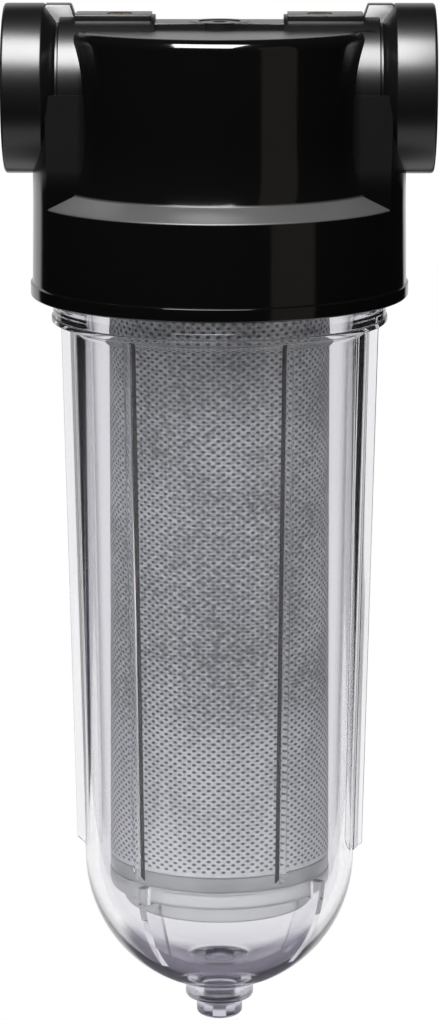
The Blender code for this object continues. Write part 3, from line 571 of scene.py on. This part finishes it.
def port_bore(side, inner_end):
    chamfer = 1.2 * MM
    outline = [
        (0.0, PORT_REACH + chamfer),
        (PORT_BORE + 2.0 * chamfer, PORT_REACH + chamfer),
        (PORT_BORE, PORT_REACH - chamfer),
        (PORT_BORE, PORT_REACH - PORT_DEPTH),
        (THROAT, PORT_REACH - PORT_DEPTH),
        (THROAT, inner_end),
        (0.0, inner_end),
    ]
    return facing_x(lathe("bore", outline, 144), side)


def webs():
    web = lathe(
        "webs", [(0.0, 0.0), (SKIRT_RADIUS, 0.0), (SKIRT_RADIUS, LEDGE_FOOT), (0.0, LEDGE_FOOT)]
    )
    limit = block(
        "web_limit",
        (-80.0 * MM, -27.0 * MM, LEDGE_FOOT - 4.7 * MM),
        (80.0 * MM, 27.0 * MM, 10.0 * MM),
        top_inset=(0.0, 2.5 * MM),
    )
    return combine(web, limit, "INTERSECT")


def head():
    made = head_outside()
    combine(made, webs(), "UNION")
    for side in (-1, 1):
        combine(made, port_outside(side), "UNION")
    rear = block(
        "rear",
        (-42.1 * MM, BAR_HALF, HEAD_TOP - REAR_STEP),
        (42.1 * MM, HEAD_RADIUS, PAD_TOP + 4.0 * MM),
    )
    combine(made, rear, "DIFFERENCE")
    bar = block("bar", (-BLOCK_START, -BAR_HALF, 0.0), (BLOCK_START, BAR_HALF, BAR_TOP), edge=0.35 * MM)
    combine(made, bar, "UNION")
    for side in (-1, 1):
        ends = sorted((side * PAD_START, side * (BLOCK_START + 1.0 * MM)))
        pad = block(
            "pad", (ends[0], -BAR_HALF, HEAD_TOP - 2.0 * MM), (ends[1], BAR_HALF, PAD_TOP), edge=0.3 * MM
        )
        combine(made, pad, "UNION")
        ends = sorted((side * BLOCK_START, side * (BLOCK_START + 13.2 * MM)))
        crest = block(
            "crest",
            (ends[0], -6.0 * MM, NECK_RADIUS - 3.5 * MM),
            (ends[1], 6.0 * MM, NECK_RADIUS + 3.5 * MM),
            top_inset=(2.4 * MM, 2.5 * MM),
            edge=0.5 * MM,
        )
        combine(made, crest, "UNION")
    combine(made, rod("boss", BOSS_RADIUS, HEAD_TOP - 2.4 * MM, BOSS_TOP), "UNION")
    combine(made, head_room(), "DIFFERENCE")
    combine(made, rod("riser", SPIGOT_BORE, SPIGOT_FOOT - 6.0 * MM, 10.0 * MM), "DIFFERENCE")
    combine(made, port_bore(-1, DUCT_REACH - DUCT_RADIUS), "DIFFERENCE")
    combine(made, port_bore(1, 0.0), "DIFFERENCE")
    duct = rod("duct", DUCT_RADIUS, ROOF - 5.0 * MM, 0.0)
    combine(made, place(duct, Matrix.Translation((-DUCT_REACH, 0.0, 0.0))), "DIFFERENCE")
    combine(made, rod("well", 7.0 * MM, BOSS_TOP - 4.5 * MM, BOSS_TOP + 2.0 * MM), "DIFFERENCE")
    combine(made, rod("vent", 3.3 * MM, 7.0 * MM, BOSS_TOP + 2.0 * MM), "DIFFERENCE")
    for side in (-1, 1):
        hole = rod("hole", INSERT_HOLE, PAD_TOP - 7.4 * MM, PAD_TOP + 2.0 * MM)
        combine(made, place(hole, Matrix.Translation((side * INSERT_REACH, 0.0, 0.0))), "DIFFERENCE")
    return shade(made)


HEAD = dress(head(), BLACK, "head", "head_black", "head_body")
print("head:", len(HEAD.data.polygons), "faces")

# %% [markdown]
# The bowl is one clear moulding. Refraction needs a single closed skin with no inner walls, so the
# shell, its six outer ribs and the stepped fins in its dome are joined by Booleans.
# %% Bowl
NECK_OUTER = BORE_RADIUS - 0.4 * MM
RIM_OUTER = LAND_RADIUS - 0.4 * MM
RIM_INNER = RIM_OUTER - 4.2 * MM
COLLAR_OUTER = NECK_OUTER - 1.5 * MM
COLLAR_FOOT = MOUTH - 8.6 * MM
BOWL_TOP = COLLAR_OUTER - 5.4 * MM
BOWL_FOOT = BOWL_TOP - 4.0 * MM
BOWL_WALL = 4.5 * MM
DOME_TOP = COLLAR_FOOT - 185.4 * MM
DOME_DEPTH = 47.5 * MM
FLOOR_WALL = 6.5 * MM
STUB_RADIUS = 11.7 * MM
STUB_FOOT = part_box("bowl")[0].z
DRAIN_BORE = 5.5 * MM
RIB_HEIGHT = 3.0 * MM
SLEEVE_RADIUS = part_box("filter_sleeve")[1].x
FIN_SEAT = DOME_TOP - 8.6 * MM


def bowl_outline():
    groove = LAND_RADIUS - 2.7 * MM
    middle = LAND + 2.8 * MM
    half = 1.35 * MM
    lip = 0.5 * MM
    lip_top = COLLAR_FOOT + 1.6 * MM
    end = -math.degrees(math.acos(STUB_RADIUS / BOWL_FOOT))
    outline = [
        (RIM_OUTER, ROOF - 0.4 * MM),
        (RIM_OUTER, middle + half),
        (groove, middle + half),
        (groove, middle - half),
        (RIM_OUTER, middle - half),
        (RIM_OUTER, LAND - 0.4 * MM),
        (COLLAR_OUTER, LAND - 0.4 * MM),
        (COLLAR_OUTER, MOUTH + 2.0 * MM),
    ]
    outline += arc((COLLAR_OUTER - 0.2 * MM, lip_top + 0.4 * MM), (0.2 * MM, 0.2 * MM), 0, -60, 3)
    outline += arc((COLLAR_OUTER, lip_top - 0.1 * MM), (lip, lip * 0.7), 80, 0, 4)
    outline += arc((COLLAR_OUTER - 0.4 * MM, COLLAR_FOOT + 0.4 * MM), (0.9 * MM, 0.6 * MM), 0, -90, 5)
    outline += arc((BOWL_TOP + 3.0 * MM, COLLAR_FOOT - 3.2 * MM), (3.0 * MM, 3.0 * MM), 90, 180, 8)
    outline += arc((0.0, DOME_TOP), (BOWL_FOOT, DOME_DEPTH), 0, end, 40)[:-1]
    join = DOME_TOP - DOME_DEPTH * math.sqrt(1.0 - (STUB_RADIUS / BOWL_FOOT) ** 2)
    outline += arc((STUB_RADIUS + 0.8 * MM, join - 0.4 * MM), (0.8 * MM, 0.8 * MM), 120, 180, 3)
    outline += arc((STUB_RADIUS - 1.2 * MM, STUB_FOOT + 1.2 * MM), (1.2 * MM, 1.2 * MM), 0, -90, 5)
    outline += [(7.2 * MM, STUB_FOOT), (7.2 * MM, STUB_FOOT + 1.7 * MM), (DRAIN_BORE, STUB_FOOT + 1.7 * MM)]
    inner = (BOWL_FOOT - BOWL_WALL, DOME_DEPTH - FLOOR_WALL)
    first = -math.degrees(math.acos(DRAIN_BORE / inner[0]))
    outline += arc((0.0, DOME_TOP), inner, first, 0, 36)
    outline += [
        (BOWL_TOP - BOWL_WALL, COLLAR_FOOT),
        (RIM_INNER, -61.5 * MM),
        (RIM_INNER, ROOF - 0.4 * MM),
    ]
    return outline


def rib_outline():
    root = BOWL_WALL / 2.0
    crest = BOWL_TOP + RIB_HEIGHT
    foot = DOME_TOP + 1.5 * MM
    outline = [(BOWL_TOP - root, COLLAR_FOOT + root), (crest + 1.6 * MM, COLLAR_FOOT + root)]
    outline += arc((crest + 1.6 * MM, COLLAR_FOOT - 3.2 * MM), (1.6 * MM, 3.2 * MM), 90, 180, 6)
    outline += [
        (BOWL_FOOT + RIB_HEIGHT, foot + 2.7 * MM),
        (BOWL_FOOT - 0.3 * MM, foot - 0.3 * MM),
        (BOWL_FOOT - root, foot - 0.3 * MM),
    ]
    return outline


def fin_outline():
    wall = BOWL_FOOT - BOWL_WALL / 2.0
    depth = DOME_DEPTH - FLOOR_WALL / 2.0
    guide = SLEEVE_RADIUS + 0.8 * MM
    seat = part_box("cage_collar")[1].x - 4.6 * MM
    top = FIN_SEAT + 6.3 * MM
    start = math.degrees(math.asin((top - DOME_TOP) / depth))
    end = -math.degrees(math.acos(0.78 * seat / wall))
    outline = [(seat, FIN_SEAT), (guide, FIN_SEAT), (guide, top)]
    outline += arc((0.0, DOME_TOP), (wall, depth), start, end, 8)
    return outline


def facing(degrees):
    """An angle from the front towards +X, as an angle about Z from +X."""
    return math.radians(degrees - 90.0)


def bowl():
    shell = lathe("bowl_shell", bowl_outline(), ring=True)
    for index in range(6):
        rib = plate("rib", rib_outline(), 3.0 * MM, facing(-34.0 + 60.0 * index), edge=0.5 * MM)
        combine(shell, rib, "UNION")
    for index in range(4):
        fin = plate("fin", fin_outline(), 2.6 * MM, facing(-37.0 + 90.0 * index))
        combine(shell, fin, "UNION")
    return shade(shell)


BOWL = dress(bowl(), CLEAR, "bowl", "bowl_clear", "bowl")
print("bowl:", len(BOWL.data.polygons), "faces")


# %% [markdown]
# A screw thread is a small tooth that follows a rising spiral. Geometry Nodes draw the spiral and
# sweep the tooth along it, so its size, pitch and number of turns are named inputs.
# %% Thread tool
def spiral_tree(material):
    tree = bpy.data.node_groups.new("thread", "GeometryNodeTree")
    for label, kind in (
        ("Geometry", "NodeSocketGeometry"),
        ("Radius", "NodeSocketFloat"),
        ("Turns", "NodeSocketFloat"),
        ("Height", "NodeSocketFloat"),
        ("Tooth", "NodeSocketFloat"),
        ("Steps", "NodeSocketInt"),
    ):
        tree.interface.new_socket(label, in_out="INPUT", socket_type=kind)
    tree.interface.new_socket("Geometry", in_out="OUTPUT", socket_type="NodeSocketGeometry")
    nodes = tree.nodes
    start = nodes.new("NodeGroupInput")
    end = nodes.new("NodeGroupOutput")
    spiral = nodes.new("GeometryNodeCurveSpiral")
    tooth = nodes.new("GeometryNodeCurvePrimitiveCircle")
    tooth.inputs["Resolution"].default_value = 4
    sweep = nodes.new("GeometryNodeCurveToMesh")
    sweep.inputs["Fill Caps"].default_value = True
    realize = nodes.new("GeometryNodeRealizeInstances")
    paint = nodes.new("GeometryNodeSetMaterial")
    paint.inputs["Material"].default_value = material
    links = tree.links
    links.new(start.outputs["Steps"], spiral.inputs["Resolution"])
    links.new(start.outputs["Turns"], spiral.inputs["Rotations"])
    links.new(start.outputs["Radius"], spiral.inputs["Start Radius"])
    links.new(start.outputs["Radius"], spiral.inputs["End Radius"])
    links.new(start.outputs["Height"], spiral.inputs["Height"])
    links.new(start.outputs["Tooth"], tooth.inputs["Radius"])
    links.new(spiral.outputs["Curve"], sweep.inputs["Curve"])
    links.new(tooth.outputs["Curve"], sweep.inputs["Profile Curve"])
    links.new(sweep.outputs["Mesh"], realize.inputs["Geometry"])
    links.new(realize.outputs["Geometry"], paint.inputs["Geometry"])
    links.new(paint.outputs["Geometry"], end.inputs["Geometry"])
    return tree


def run_tree(name, tree, **values):
    """Runs a node tree on an empty mesh and returns the result as a plain mesh object."""
    host = add_object(name, bpy.data.meshes.new(name))
    step = host.modifiers.new("tree", "NODES")
    step.node_group = tree
    for item in tree.interface.items_tree:
        if item.in_out == "INPUT" and item.name in values:
            step[item.identifier] = values[item.name]
    bpy.context.view_layer.update()
    graph = bpy.context.evaluated_depsgraph_get()
    mesh = bpy.data.meshes.new_from_object(host.evaluated_get(graph))
    host.modifiers.clear()
    host.data = mesh
    return host


def thread(name, tree, radius, pitch, turns, tooth):
    return run_tree(
        name, tree, Radius=radius, Turns=float(turns), Height=pitch * turns, Tooth=tooth,
        Steps=64,
    )


BLACK_THREAD = spiral_tree(BLACK)
CLEAR_THREAD = spiral_tree(CLEAR)
PORT_PITCH = 2.309 * MM
for side, label in ((-1, "inlet"), (1, "outlet")):
    turns = 6
    ridge = thread("thread_" + label, BLACK_THREAD, PORT_BORE + 0.5 * MM, PORT_PITCH, turns, 1.1 * MM)
    place(ridge, Matrix.Translation((0.0, 0.0, PORT_REACH - 1.6 * MM - PORT_PITCH * turns)))
    facing_x(ridge, side)
    dress(shade(ridge), BLACK, "head", "head_black")
    print(ridge.name, len(ridge.data.polygons), "faces")

# %% [markdown]
# The bowl's own thread is coarse. It hides in the skirt while the filter is closed, and shows
# when the bowl is screwed down. It is black to the eye only because the skirt surrounds it.
# %% Bowl thread
BOWL_PITCH = 6.0 * MM
BOWL_TURNS = 1.4
bowl_thread = thread("bowl_thread", CLEAR_THREAD, NECK_OUTER - 1.6 * MM, BOWL_PITCH, BOWL_TURNS, 1.5 * MM)
place(bowl_thread, Matrix.Translation((0.0, 0.0, LAND - 2.3 * MM - BOWL_TURNS * BOWL_PITCH)))
dress(shade(bowl_thread), CLEAR, "bowl", "bowl_clear")
print("bowl thread:", len(bowl_thread.data.polygons), "faces")

# %% [markdown]
# The sleeve is non-woven cloth round the cage, pressed with rows of small staggered dots. The cloth
# is a thin tube, and Geometry Nodes lay a shallow dish at every dot.
# %% Sleeve
SLEEVE_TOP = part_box("filter_sleeve")[1].z
SLEEVE_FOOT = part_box("filter_sleeve")[0].z
SLEEVE_WALL = 1.0 * MM
DOT_ROW_PITCH = 1.23 * MM
DOTS_PER_ROW = 74
DOT_WIDTH = 1.5 * MM
DOT_HEIGHT = 0.95 * MM


def sleeve():
    edge = 0.3 * MM
    rows = 60
    outline = [(SLEEVE_RADIUS - SLEEVE_WALL + edge, SLEEVE_TOP), (SLEEVE_RADIUS - edge, SLEEVE_TOP)]
    for row in range(rows + 1):
        height = SLEEVE_TOP - edge + (SLEEVE_FOOT - SLEEVE_TOP + 2.0 * edge) * row / rows
        outline.append((SLEEVE_RADIUS, height))
    outline += [
        (SLEEVE_RADIUS - edge, SLEEVE_FOOT),
        (SLEEVE_RADIUS - SLEEVE_WALL + edge, SLEEVE_FOOT),
        (SLEEVE_RADIUS - SLEEVE_WALL, SLEEVE_FOOT + edge),
        (SLEEVE_RADIUS - SLEEVE_WALL, SLEEVE_TOP - edge),
    ]
    return shade(lathe("sleeve", outline, 144, ring=True))


def dot_tree(material):
    tree = bpy.data.node_groups.new("pressed_dots", "GeometryNodeTree")
    for label, kind in (
        ("Geometry", "NodeSocketGeometry"),
        ("Radius", "NodeSocketFloat"),
        ("Across", "NodeSocketInt"),
        ("Rows", "NodeSocketInt"),
        ("Row Pitch", "NodeSocketFloat"),
        ("Top", "NodeSocketFloat"),
        ("Dot Width", "NodeSocketFloat"),
        ("Dot Height", "NodeSocketFloat"),
    ):
        tree.interface.new_socket(label, in_out="INPUT", socket_type=kind)
    tree.interface.new_socket("Geometry", in_out="OUTPUT", socket_type="NodeSocketGeometry")
    nodes = tree.nodes
    links = tree.links
    start = nodes.new("NodeGroupInput")
    end = nodes.new("NodeGroupOutput")

    def math_node(operation, first, second):
        made = nodes.new("ShaderNodeMath")
        made.operation = operation
        for socket, value in zip(made.inputs, (first, second)):
            if isinstance(value, (int, float)):
                socket.default_value = value
            else:
                links.new(value, socket)
        return made.outputs["Value"]

    total = math_node("MULTIPLY", start.outputs["Across"], start.outputs["Rows"])
    points = nodes.new("GeometryNodePoints")
    links.new(total, points.inputs["Count"])
    index = nodes.new("GeometryNodeInputIndex").outputs["Index"]
    row = math_node("FLOOR", math_node("DIVIDE", index, start.outputs["Across"]), 0.0)
    column = math_node("MODULO", index, start.outputs["Across"])
    shifted = math_node("ADD", column, math_node("MULTIPLY", math_node("MODULO", row, 2.0), 0.5))
    share = math_node("DIVIDE", shifted, start.outputs["Across"])
    angle = math_node("MULTIPLY", share, math.tau)
    across = math_node("MULTIPLY", math_node("COSINE", angle, 0.0), start.outputs["Radius"])
    along = math_node("MULTIPLY", math_node("SINE", angle, 0.0), start.outputs["Radius"])
    drop = math_node("MULTIPLY", row, start.outputs["Row Pitch"])
    height = math_node("SUBTRACT", start.outputs["Top"], drop)
    where = nodes.new("ShaderNodeCombineXYZ")
    for value, socket in zip((across, along, height), where.inputs):
        links.new(value, socket)
    put = nodes.new("GeometryNodeSetPosition")
    links.new(points.outputs["Points"], put.inputs["Geometry"])
    links.new(where.outputs["Vector"], put.inputs["Position"])
    dish = nodes.new("GeometryNodeMeshCircle")
    dish.fill_type = "TRIANGLE_FAN"
    dish.inputs["Vertices"].default_value = 8
    dish.inputs["Radius"].default_value = 0.5
    stand = nodes.new("GeometryNodeTransform")
    stand.inputs["Rotation"].default_value = (math.pi / 2.0, 0.0, math.pi / 2.0)
    links.new(dish.outputs["Mesh"], stand.inputs["Geometry"])
    turn = nodes.new("ShaderNodeCombineXYZ")
    links.new(angle, turn.inputs["Z"])
    size = nodes.new("ShaderNodeCombineXYZ")
    size.inputs["X"].default_value = 1.0
    links.new(start.outputs["Dot Width"], size.inputs["Y"])
    links.new(start.outputs["Dot Height"], size.inputs["Z"])
    instance = nodes.new("GeometryNodeInstanceOnPoints")
    links.new(put.outputs["Geometry"], instance.inputs["Points"])
    links.new(stand.outputs["Geometry"], instance.inputs["Instance"])
    links.new(turn.outputs["Vector"], instance.inputs["Rotation"])
    links.new(size.outputs["Vector"], instance.inputs["Scale"])
    realize = nodes.new("GeometryNodeRealizeInstances")
    paint = nodes.new("GeometryNodeSetMaterial")
    paint.inputs["Material"].default_value = material
    links.new(instance.outputs["Instances"], realize.inputs["Geometry"])
    links.new(realize.outputs["Geometry"], paint.inputs["Geometry"])
    links.new(paint.outputs["Geometry"], end.inputs["Geometry"])
    return tree


dress(sleeve(), FELT, "cartridge", "sleeve_felt", "filter_sleeve")
rows = int((SLEEVE_TOP - SLEEVE_FOOT) / DOT_ROW_PITCH) - 1
dots = run_tree(
    "sleeve_dots", dot_tree(DOTS), Radius=SLEEVE_RADIUS + 0.03 * MM, Across=DOTS_PER_ROW,
    Rows=rows, Top=SLEEVE_TOP - DOT_ROW_PITCH,
    **{"Row Pitch": DOT_ROW_PITCH, "Dot Width": DOT_WIDTH, "Dot Height": DOT_HEIGHT},
)
dress(dots, DOTS, "cartridge", "sleeve_felt")
print("sleeve dots:", rows * DOTS_PER_ROW, "dots,", len(dots.data.polygons), "faces")


# %% [markdown]
# The small turned pieces are spun again at a finer step than the frame's, with the small radii
# that a moulding or a lathe leaves on every edge.
# %% Small pieces
def soft_tube(name, outer, inner, high, low, edge, segments=144):
    outline = arc((outer - edge, high - edge), (edge, edge), 90, 0, 4)
    outline += arc((outer - edge, low + edge), (edge, edge), 0, -90, 4)
    outline += [(inner, low), (inner, high)]
    return shade(lathe(name, outline, segments, ring=True))


def seal(name, inner, cord, middle, segments=MEDIUM):
    centre = inner + cord / 2.0
    return shade(lathe(name, arc((centre, middle), (cord / 2.0, cord / 2.0), 90, -240, 11), segments, ring=True))


def low_high(name):
    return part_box(name)[0].z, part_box(name)[1].z


for ring_name in ("lower_clamp_ring", "upper_clamp_ring"):
    low, high = low_high(ring_name)
    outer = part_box(ring_name)[1].x
    inner = SLEEVE_RADIUS - SLEEVE_WALL if ring_name.startswith("lower") else SLEEVE_RADIUS + 0.3 * MM
    ring = soft_tube(ring_name + "_skin", outer, inner, high, low, 0.4 * MM)
    dress(ring, PALE, "cartridge", "cage_grey", ring_name)


def cap():
    low, high = low_high("cage_cap")
    flange_foot = FIN_SEAT + 0.3 * MM
    flange_top = flange_foot + 5.7 * MM
    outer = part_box("cage_cap")[1].x
    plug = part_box("cage_collar")[1].x - 5.0 * MM
    bore = plug - 2.7 * MM
    edge = 0.5 * MM
    outline = [(0.0, flange_top - 0.3 * MM), (bore, flange_top - 0.3 * MM), (bore, high), (plug, high)]
    outline += [(plug, flange_top)]
    outline += arc((outer - edge, flange_top - edge), (edge, edge), 90, 0, 4)
    outline += arc((outer - edge, flange_foot + edge), (edge, edge), 0, -90, 4)
    outline += [(plug, flange_foot)]
    outline += arc((plug - edge, low + edge), (edge, edge), 0, -90, 4)
    outline += [(bore, low), (bore, flange_top - 2.9 * MM), (0.0, flange_top - 2.9 * MM)]
    return shade(lathe("cap_skin", outline, 144))


dress(cap(), PALE, "cartridge", "cage_grey", "cage_cap")


def drain():
    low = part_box("drain_plug")[0].z
    top = STUB_FOOT - 0.3 * MM
    shank = DRAIN_BORE - 0.3 * MM
    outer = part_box("drain_plug")[1].x
    outline = [(0.0, top + 9.0 * MM), (shank, top + 9.0 * MM), (shank, top)]
    outline += arc((outer - 0.4 * MM, top - 0.4 * MM), (0.4 * MM, 0.4 * MM), 90, 0, 3)
    outline += arc((outer - 1.8 * MM, low + 1.8 * MM), (1.8 * MM, 1.8 * MM), 0, -90, 6)
    outline += [(0.0, low)]
    made = lathe("drain_skin", outline, 72)
    socket = lathe(
        "socket",
        [(0.0, low + 3.5 * MM), (3.6 * MM, low + 3.5 * MM), (3.6 * MM, low - MM), (0.0, low - MM)],
        6,
    )
    return shade(combine(made, socket, "DIFFERENCE"))


dress(drain(), CLEAR, "drain", "bowl_clear", "drain_plug")


def vent():
    low, high = low_high("vent_plug")
    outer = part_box("vent_plug")[1].x
    under = high - 2.4 * MM
    outline = [(0.0, high)]
    outline += arc((outer - 0.5 * MM, high - 0.5 * MM), (0.5 * MM, 0.5 * MM), 90, 0, 4)
    outline += [(outer, under), (3.0 * MM, under), (3.0 * MM, low), (0.0, low)]
    made = lathe("vent_skin", outline, 72)
    socket = lathe(
        "socket",
        [(0.0, high + MM), (2.6 * MM, high + MM), (2.6 * MM, high - 1.4 * MM), (0.0, high - 1.4 * MM)],
        6,
    )
    return shade(combine(made, socket, "DIFFERENCE"))


dress(vent(), BLACK, "vent", "head_black", "vent_plug")

for side, label in ((-1, "left"), (1, "right")):
    name = "bracket_insert_" + label
    low, high = low_high(name)
    bush = soft_tube(name + "_skin", 4.0 * MM, 2.5 * MM, high, low, 0.25 * MM, SMALL)
    place(bush, Matrix.Translation((side * INSERT_REACH, 0.0, 0.0)))
    dress(bush, BRASS, "head", "insert_brass", name)

for name, body, segments in (
    ("bowl_o_ring", "bowl", 144),
    ("collar_seal", "cartridge", 144),
    ("drain_o_ring", "drain_seal", SMALL),
    ("vent_o_ring", "vent_seal", SMALL),
):
    low, high = low_high(name)
    cord = high - low
    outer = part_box(name)[1].x
    ring = seal(name + "_skin", outer - cord, cord, (low + high) / 2.0, segments)
    dress(ring, RUBBER, body, "seal_rubber", name)

for name, side in (("inlet_gasket", -1), ("outlet_gasket", 1)):
    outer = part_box(name)[1].z
    floor = min(abs(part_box(name)[0].x), abs(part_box(name)[1].x))
    gasket = soft_tube(name + "_skin", outer, THROAT, floor + 2.0 * MM, floor, 0.2 * MM)
    dress(facing_x(gasket, side), RUBBER, "head", "seal_rubber", name)

for name in ("vane_ring", "cage_collar", "cage"):
    NODES[name].data.materials.clear()
    NODES[name].data.materials.append(PALE)

# %% [markdown]
# The stage is plain: a pale floor, a white surround for what the camera sees directly and through
# the clear bowl, and soft lamps. What the glossy head reflects is mostly dark in front, so the black
# stays black, with a soft box overhead for the bright rims.
# %% Stage and light
FLOOR_DROP = 60.0 * MM
FLOOR_HALF = 350.0 * MM
# Painted shadow on the floor: a dim violet round patch under the bowl, seen in and through the pieces.
SHADOW_SPOT_INNER = 105.0 * MM
SHADOW_SPOT_OUTER = 140.0 * MM
SHADOW_SPOT_COLOUR = (0.23, 0.215, 0.27)


def floor_white():
    """White to the camera and matt to the lamps. Seen in or through a piece, it has a dim round spot of painted
    shadow under the bowl.
    """
    made = bpy.data.materials.new("floor_white")
    made.use_nodes = True
    nodes = made.node_tree.nodes
    nodes.remove(nodes["Principled BSDF"])
    ray = node(made, "ShaderNodeLightPath")
    matte = node(made, "ShaderNodeBsdfDiffuse", Color=(0.9, 0.9, 0.9, 1.0))
    white = node(made, "ShaderNodeEmission")
    shaded = node(made, "ShaderNodeEmission")
    here = node(made, "ShaderNodeTexCoord")
    from_middle = node(made, "ShaderNodeVectorMath")
    from_middle.operation = "LENGTH"
    wire(made, here.outputs["Object"], from_middle.inputs["Vector"])
    # Painted shadow: dim violet in the middle, fading to white further out.
    spot = node(made, "ShaderNodeMapRange", From_Min=SHADOW_SPOT_INNER, From_Max=SHADOW_SPOT_OUTER)
    wire(made, from_middle.outputs["Value"], spot.inputs["Value"])
    colour = blend_colours(made, spot.outputs["Result"], SHADOW_SPOT_COLOUR, (1.0, 1.0, 1.0))
    wire(made, colour, shaded.inputs["Color"])
    in_piece = sum_of(made, "MAXIMUM", ray.outputs["Is Glossy Ray"], ray.outputs["Is Transmission Ray"])
    below = matte.outputs["BSDF"]
    for share, seen in ((in_piece, shaded), (ray.outputs["Is Camera Ray"], white)):
        mix = node(made, "ShaderNodeMixShader")
        wire(made, share, mix.inputs["Fac"])
        wire(made, below, mix.inputs[1])
        wire(made, seen.outputs["Emission"], mix.inputs[2])
        below = mix.outputs["Shader"]
    wire(made, below, nodes["Material Output"].inputs["Surface"])
    return made


floor_mesh = bpy.data.meshes.new("floor")
floor_shape = bmesh.new()
bmesh.ops.create_grid(floor_shape, x_segments=1, y_segments=1, size=FLOOR_HALF)
floor_shape.to_mesh(floor_mesh)
floor_shape.free()
floor = add_object("floor", floor_mesh)
floor.location.z = CAD_BOX[0].z - FLOOR_DROP
floor.data.materials.append(floor_white())


def world_light():
    """White to the camera. Reflections see a backdrop behind the filter and a dark room in front. Rays
    through the clear plastic see the backdrop straight on, a dark gap beside it, and lit side walls."""
    world = bpy.data.worlds.new("studio")
    bpy.context.scene.world = world
    world.use_nodes = True
    tree = world.node_tree
    output = tree.nodes["World Output"]
    tree.nodes.remove(tree.nodes["Background"])
    direction = tree.nodes.new("ShaderNodeTexCoord")

    def plain(colour):
        glow = tree.nodes.new("ShaderNodeBackground")
        glow.inputs["Color"].default_value = (*colour, 1.0)
        return glow.outputs["Background"]

    def backdrop(axis, stops):
        """Colours by the angle to an axis: stops are pairs of a cosine and a grey or a colour."""
        along = tree.nodes.new("ShaderNodeVectorMath")
        along.operation = "DOT_PRODUCT"
        along.inputs[1].default_value = axis
        share = tree.nodes.new("ShaderNodeMapRange")
        share.inputs["From Min"].default_value = -1.0
        ramp = tree.nodes.new("ShaderNodeValToRGB")
        elements = ramp.color_ramp.elements
        while len(elements) < len(stops):
            elements.new(0.5)
        for element, (cosine, colour) in zip(elements, stops):
            element.position = (cosine + 1.0) / 2.0
            element.color = (*colour, 1.0)
        glow = tree.nodes.new("ShaderNodeBackground")
        tree.links.new(direction.outputs["Generated"], along.inputs[0])
        tree.links.new(along.outputs["Value"], share.inputs["Value"])
        tree.links.new(share.outputs["Result"], ramp.inputs["Fac"])
        tree.links.new(ramp.outputs["Color"], glow.inputs["Color"])
        return glow.outputs["Background"]

    dark = (0.006, 0.006, 0.007)
    violet = (0.05, 0.045, 0.08)
    pale = (0.75, 0.75, 0.77)
    white = (1.0, 1.0, 1.0)
    reflected = backdrop((-0.139, 0.99, 0.0), [(0.84, dark), (0.88, (0.8, 0.8, 0.8))])
    refracted = backdrop(
        (0.0, 0.976, -0.215), [(0.86, pale), (0.885, violet), (0.925, violet), (0.95, white)]
    )
    path = tree.nodes.new("ShaderNodeLightPath")
    below = plain((0.4, 0.4, 0.4))
    for label, chosen in (
        ("Is Glossy Ray", reflected), ("Is Transmission Ray", refracted), ("Is Camera Ray", plain(white))
    ):
        mix = tree.nodes.new("ShaderNodeMixShader")
        tree.links.new(path.outputs[label], mix.inputs["Fac"])
        tree.links.new(below, mix.inputs[1])
        tree.links.new(chosen, mix.inputs[2])
        below = mix.outputs["Shader"]
    tree.links.new(below, output.inputs["Surface"])


def soft_box(name, place_at, look_at, width, height, power, colour=(1.0, 1.0, 1.0)):
    lamp = bpy.data.lights.new(name, "AREA")
    lamp.shape = "RECTANGLE"
    lamp.size = width
    lamp.size_y = height
    lamp.energy = power
    lamp.color = colour
    made = bpy.data.objects.new(name, lamp)
    bpy.context.scene.collection.objects.link(made)
    made.location = place_at
    made.rotation_euler = (Vector(look_at) - Vector(place_at)).to_track_quat("-Z", "Y").to_euler()
    return made


world_light()
soft_box("overhead", (-0.15, -0.65, 1.02), (0.0, 0.0, 0.0), 0.86, 0.8, 60.0)
soft_box("side_strip", (0.85, -0.85, 0.0), (0.0, 0.0, -0.05), 0.6, 1.8, 0.75, (1.0, 0.86, 0.72))
bpy.context.scene.view_settings.view_transform = "Standard"
print("lamps ready")
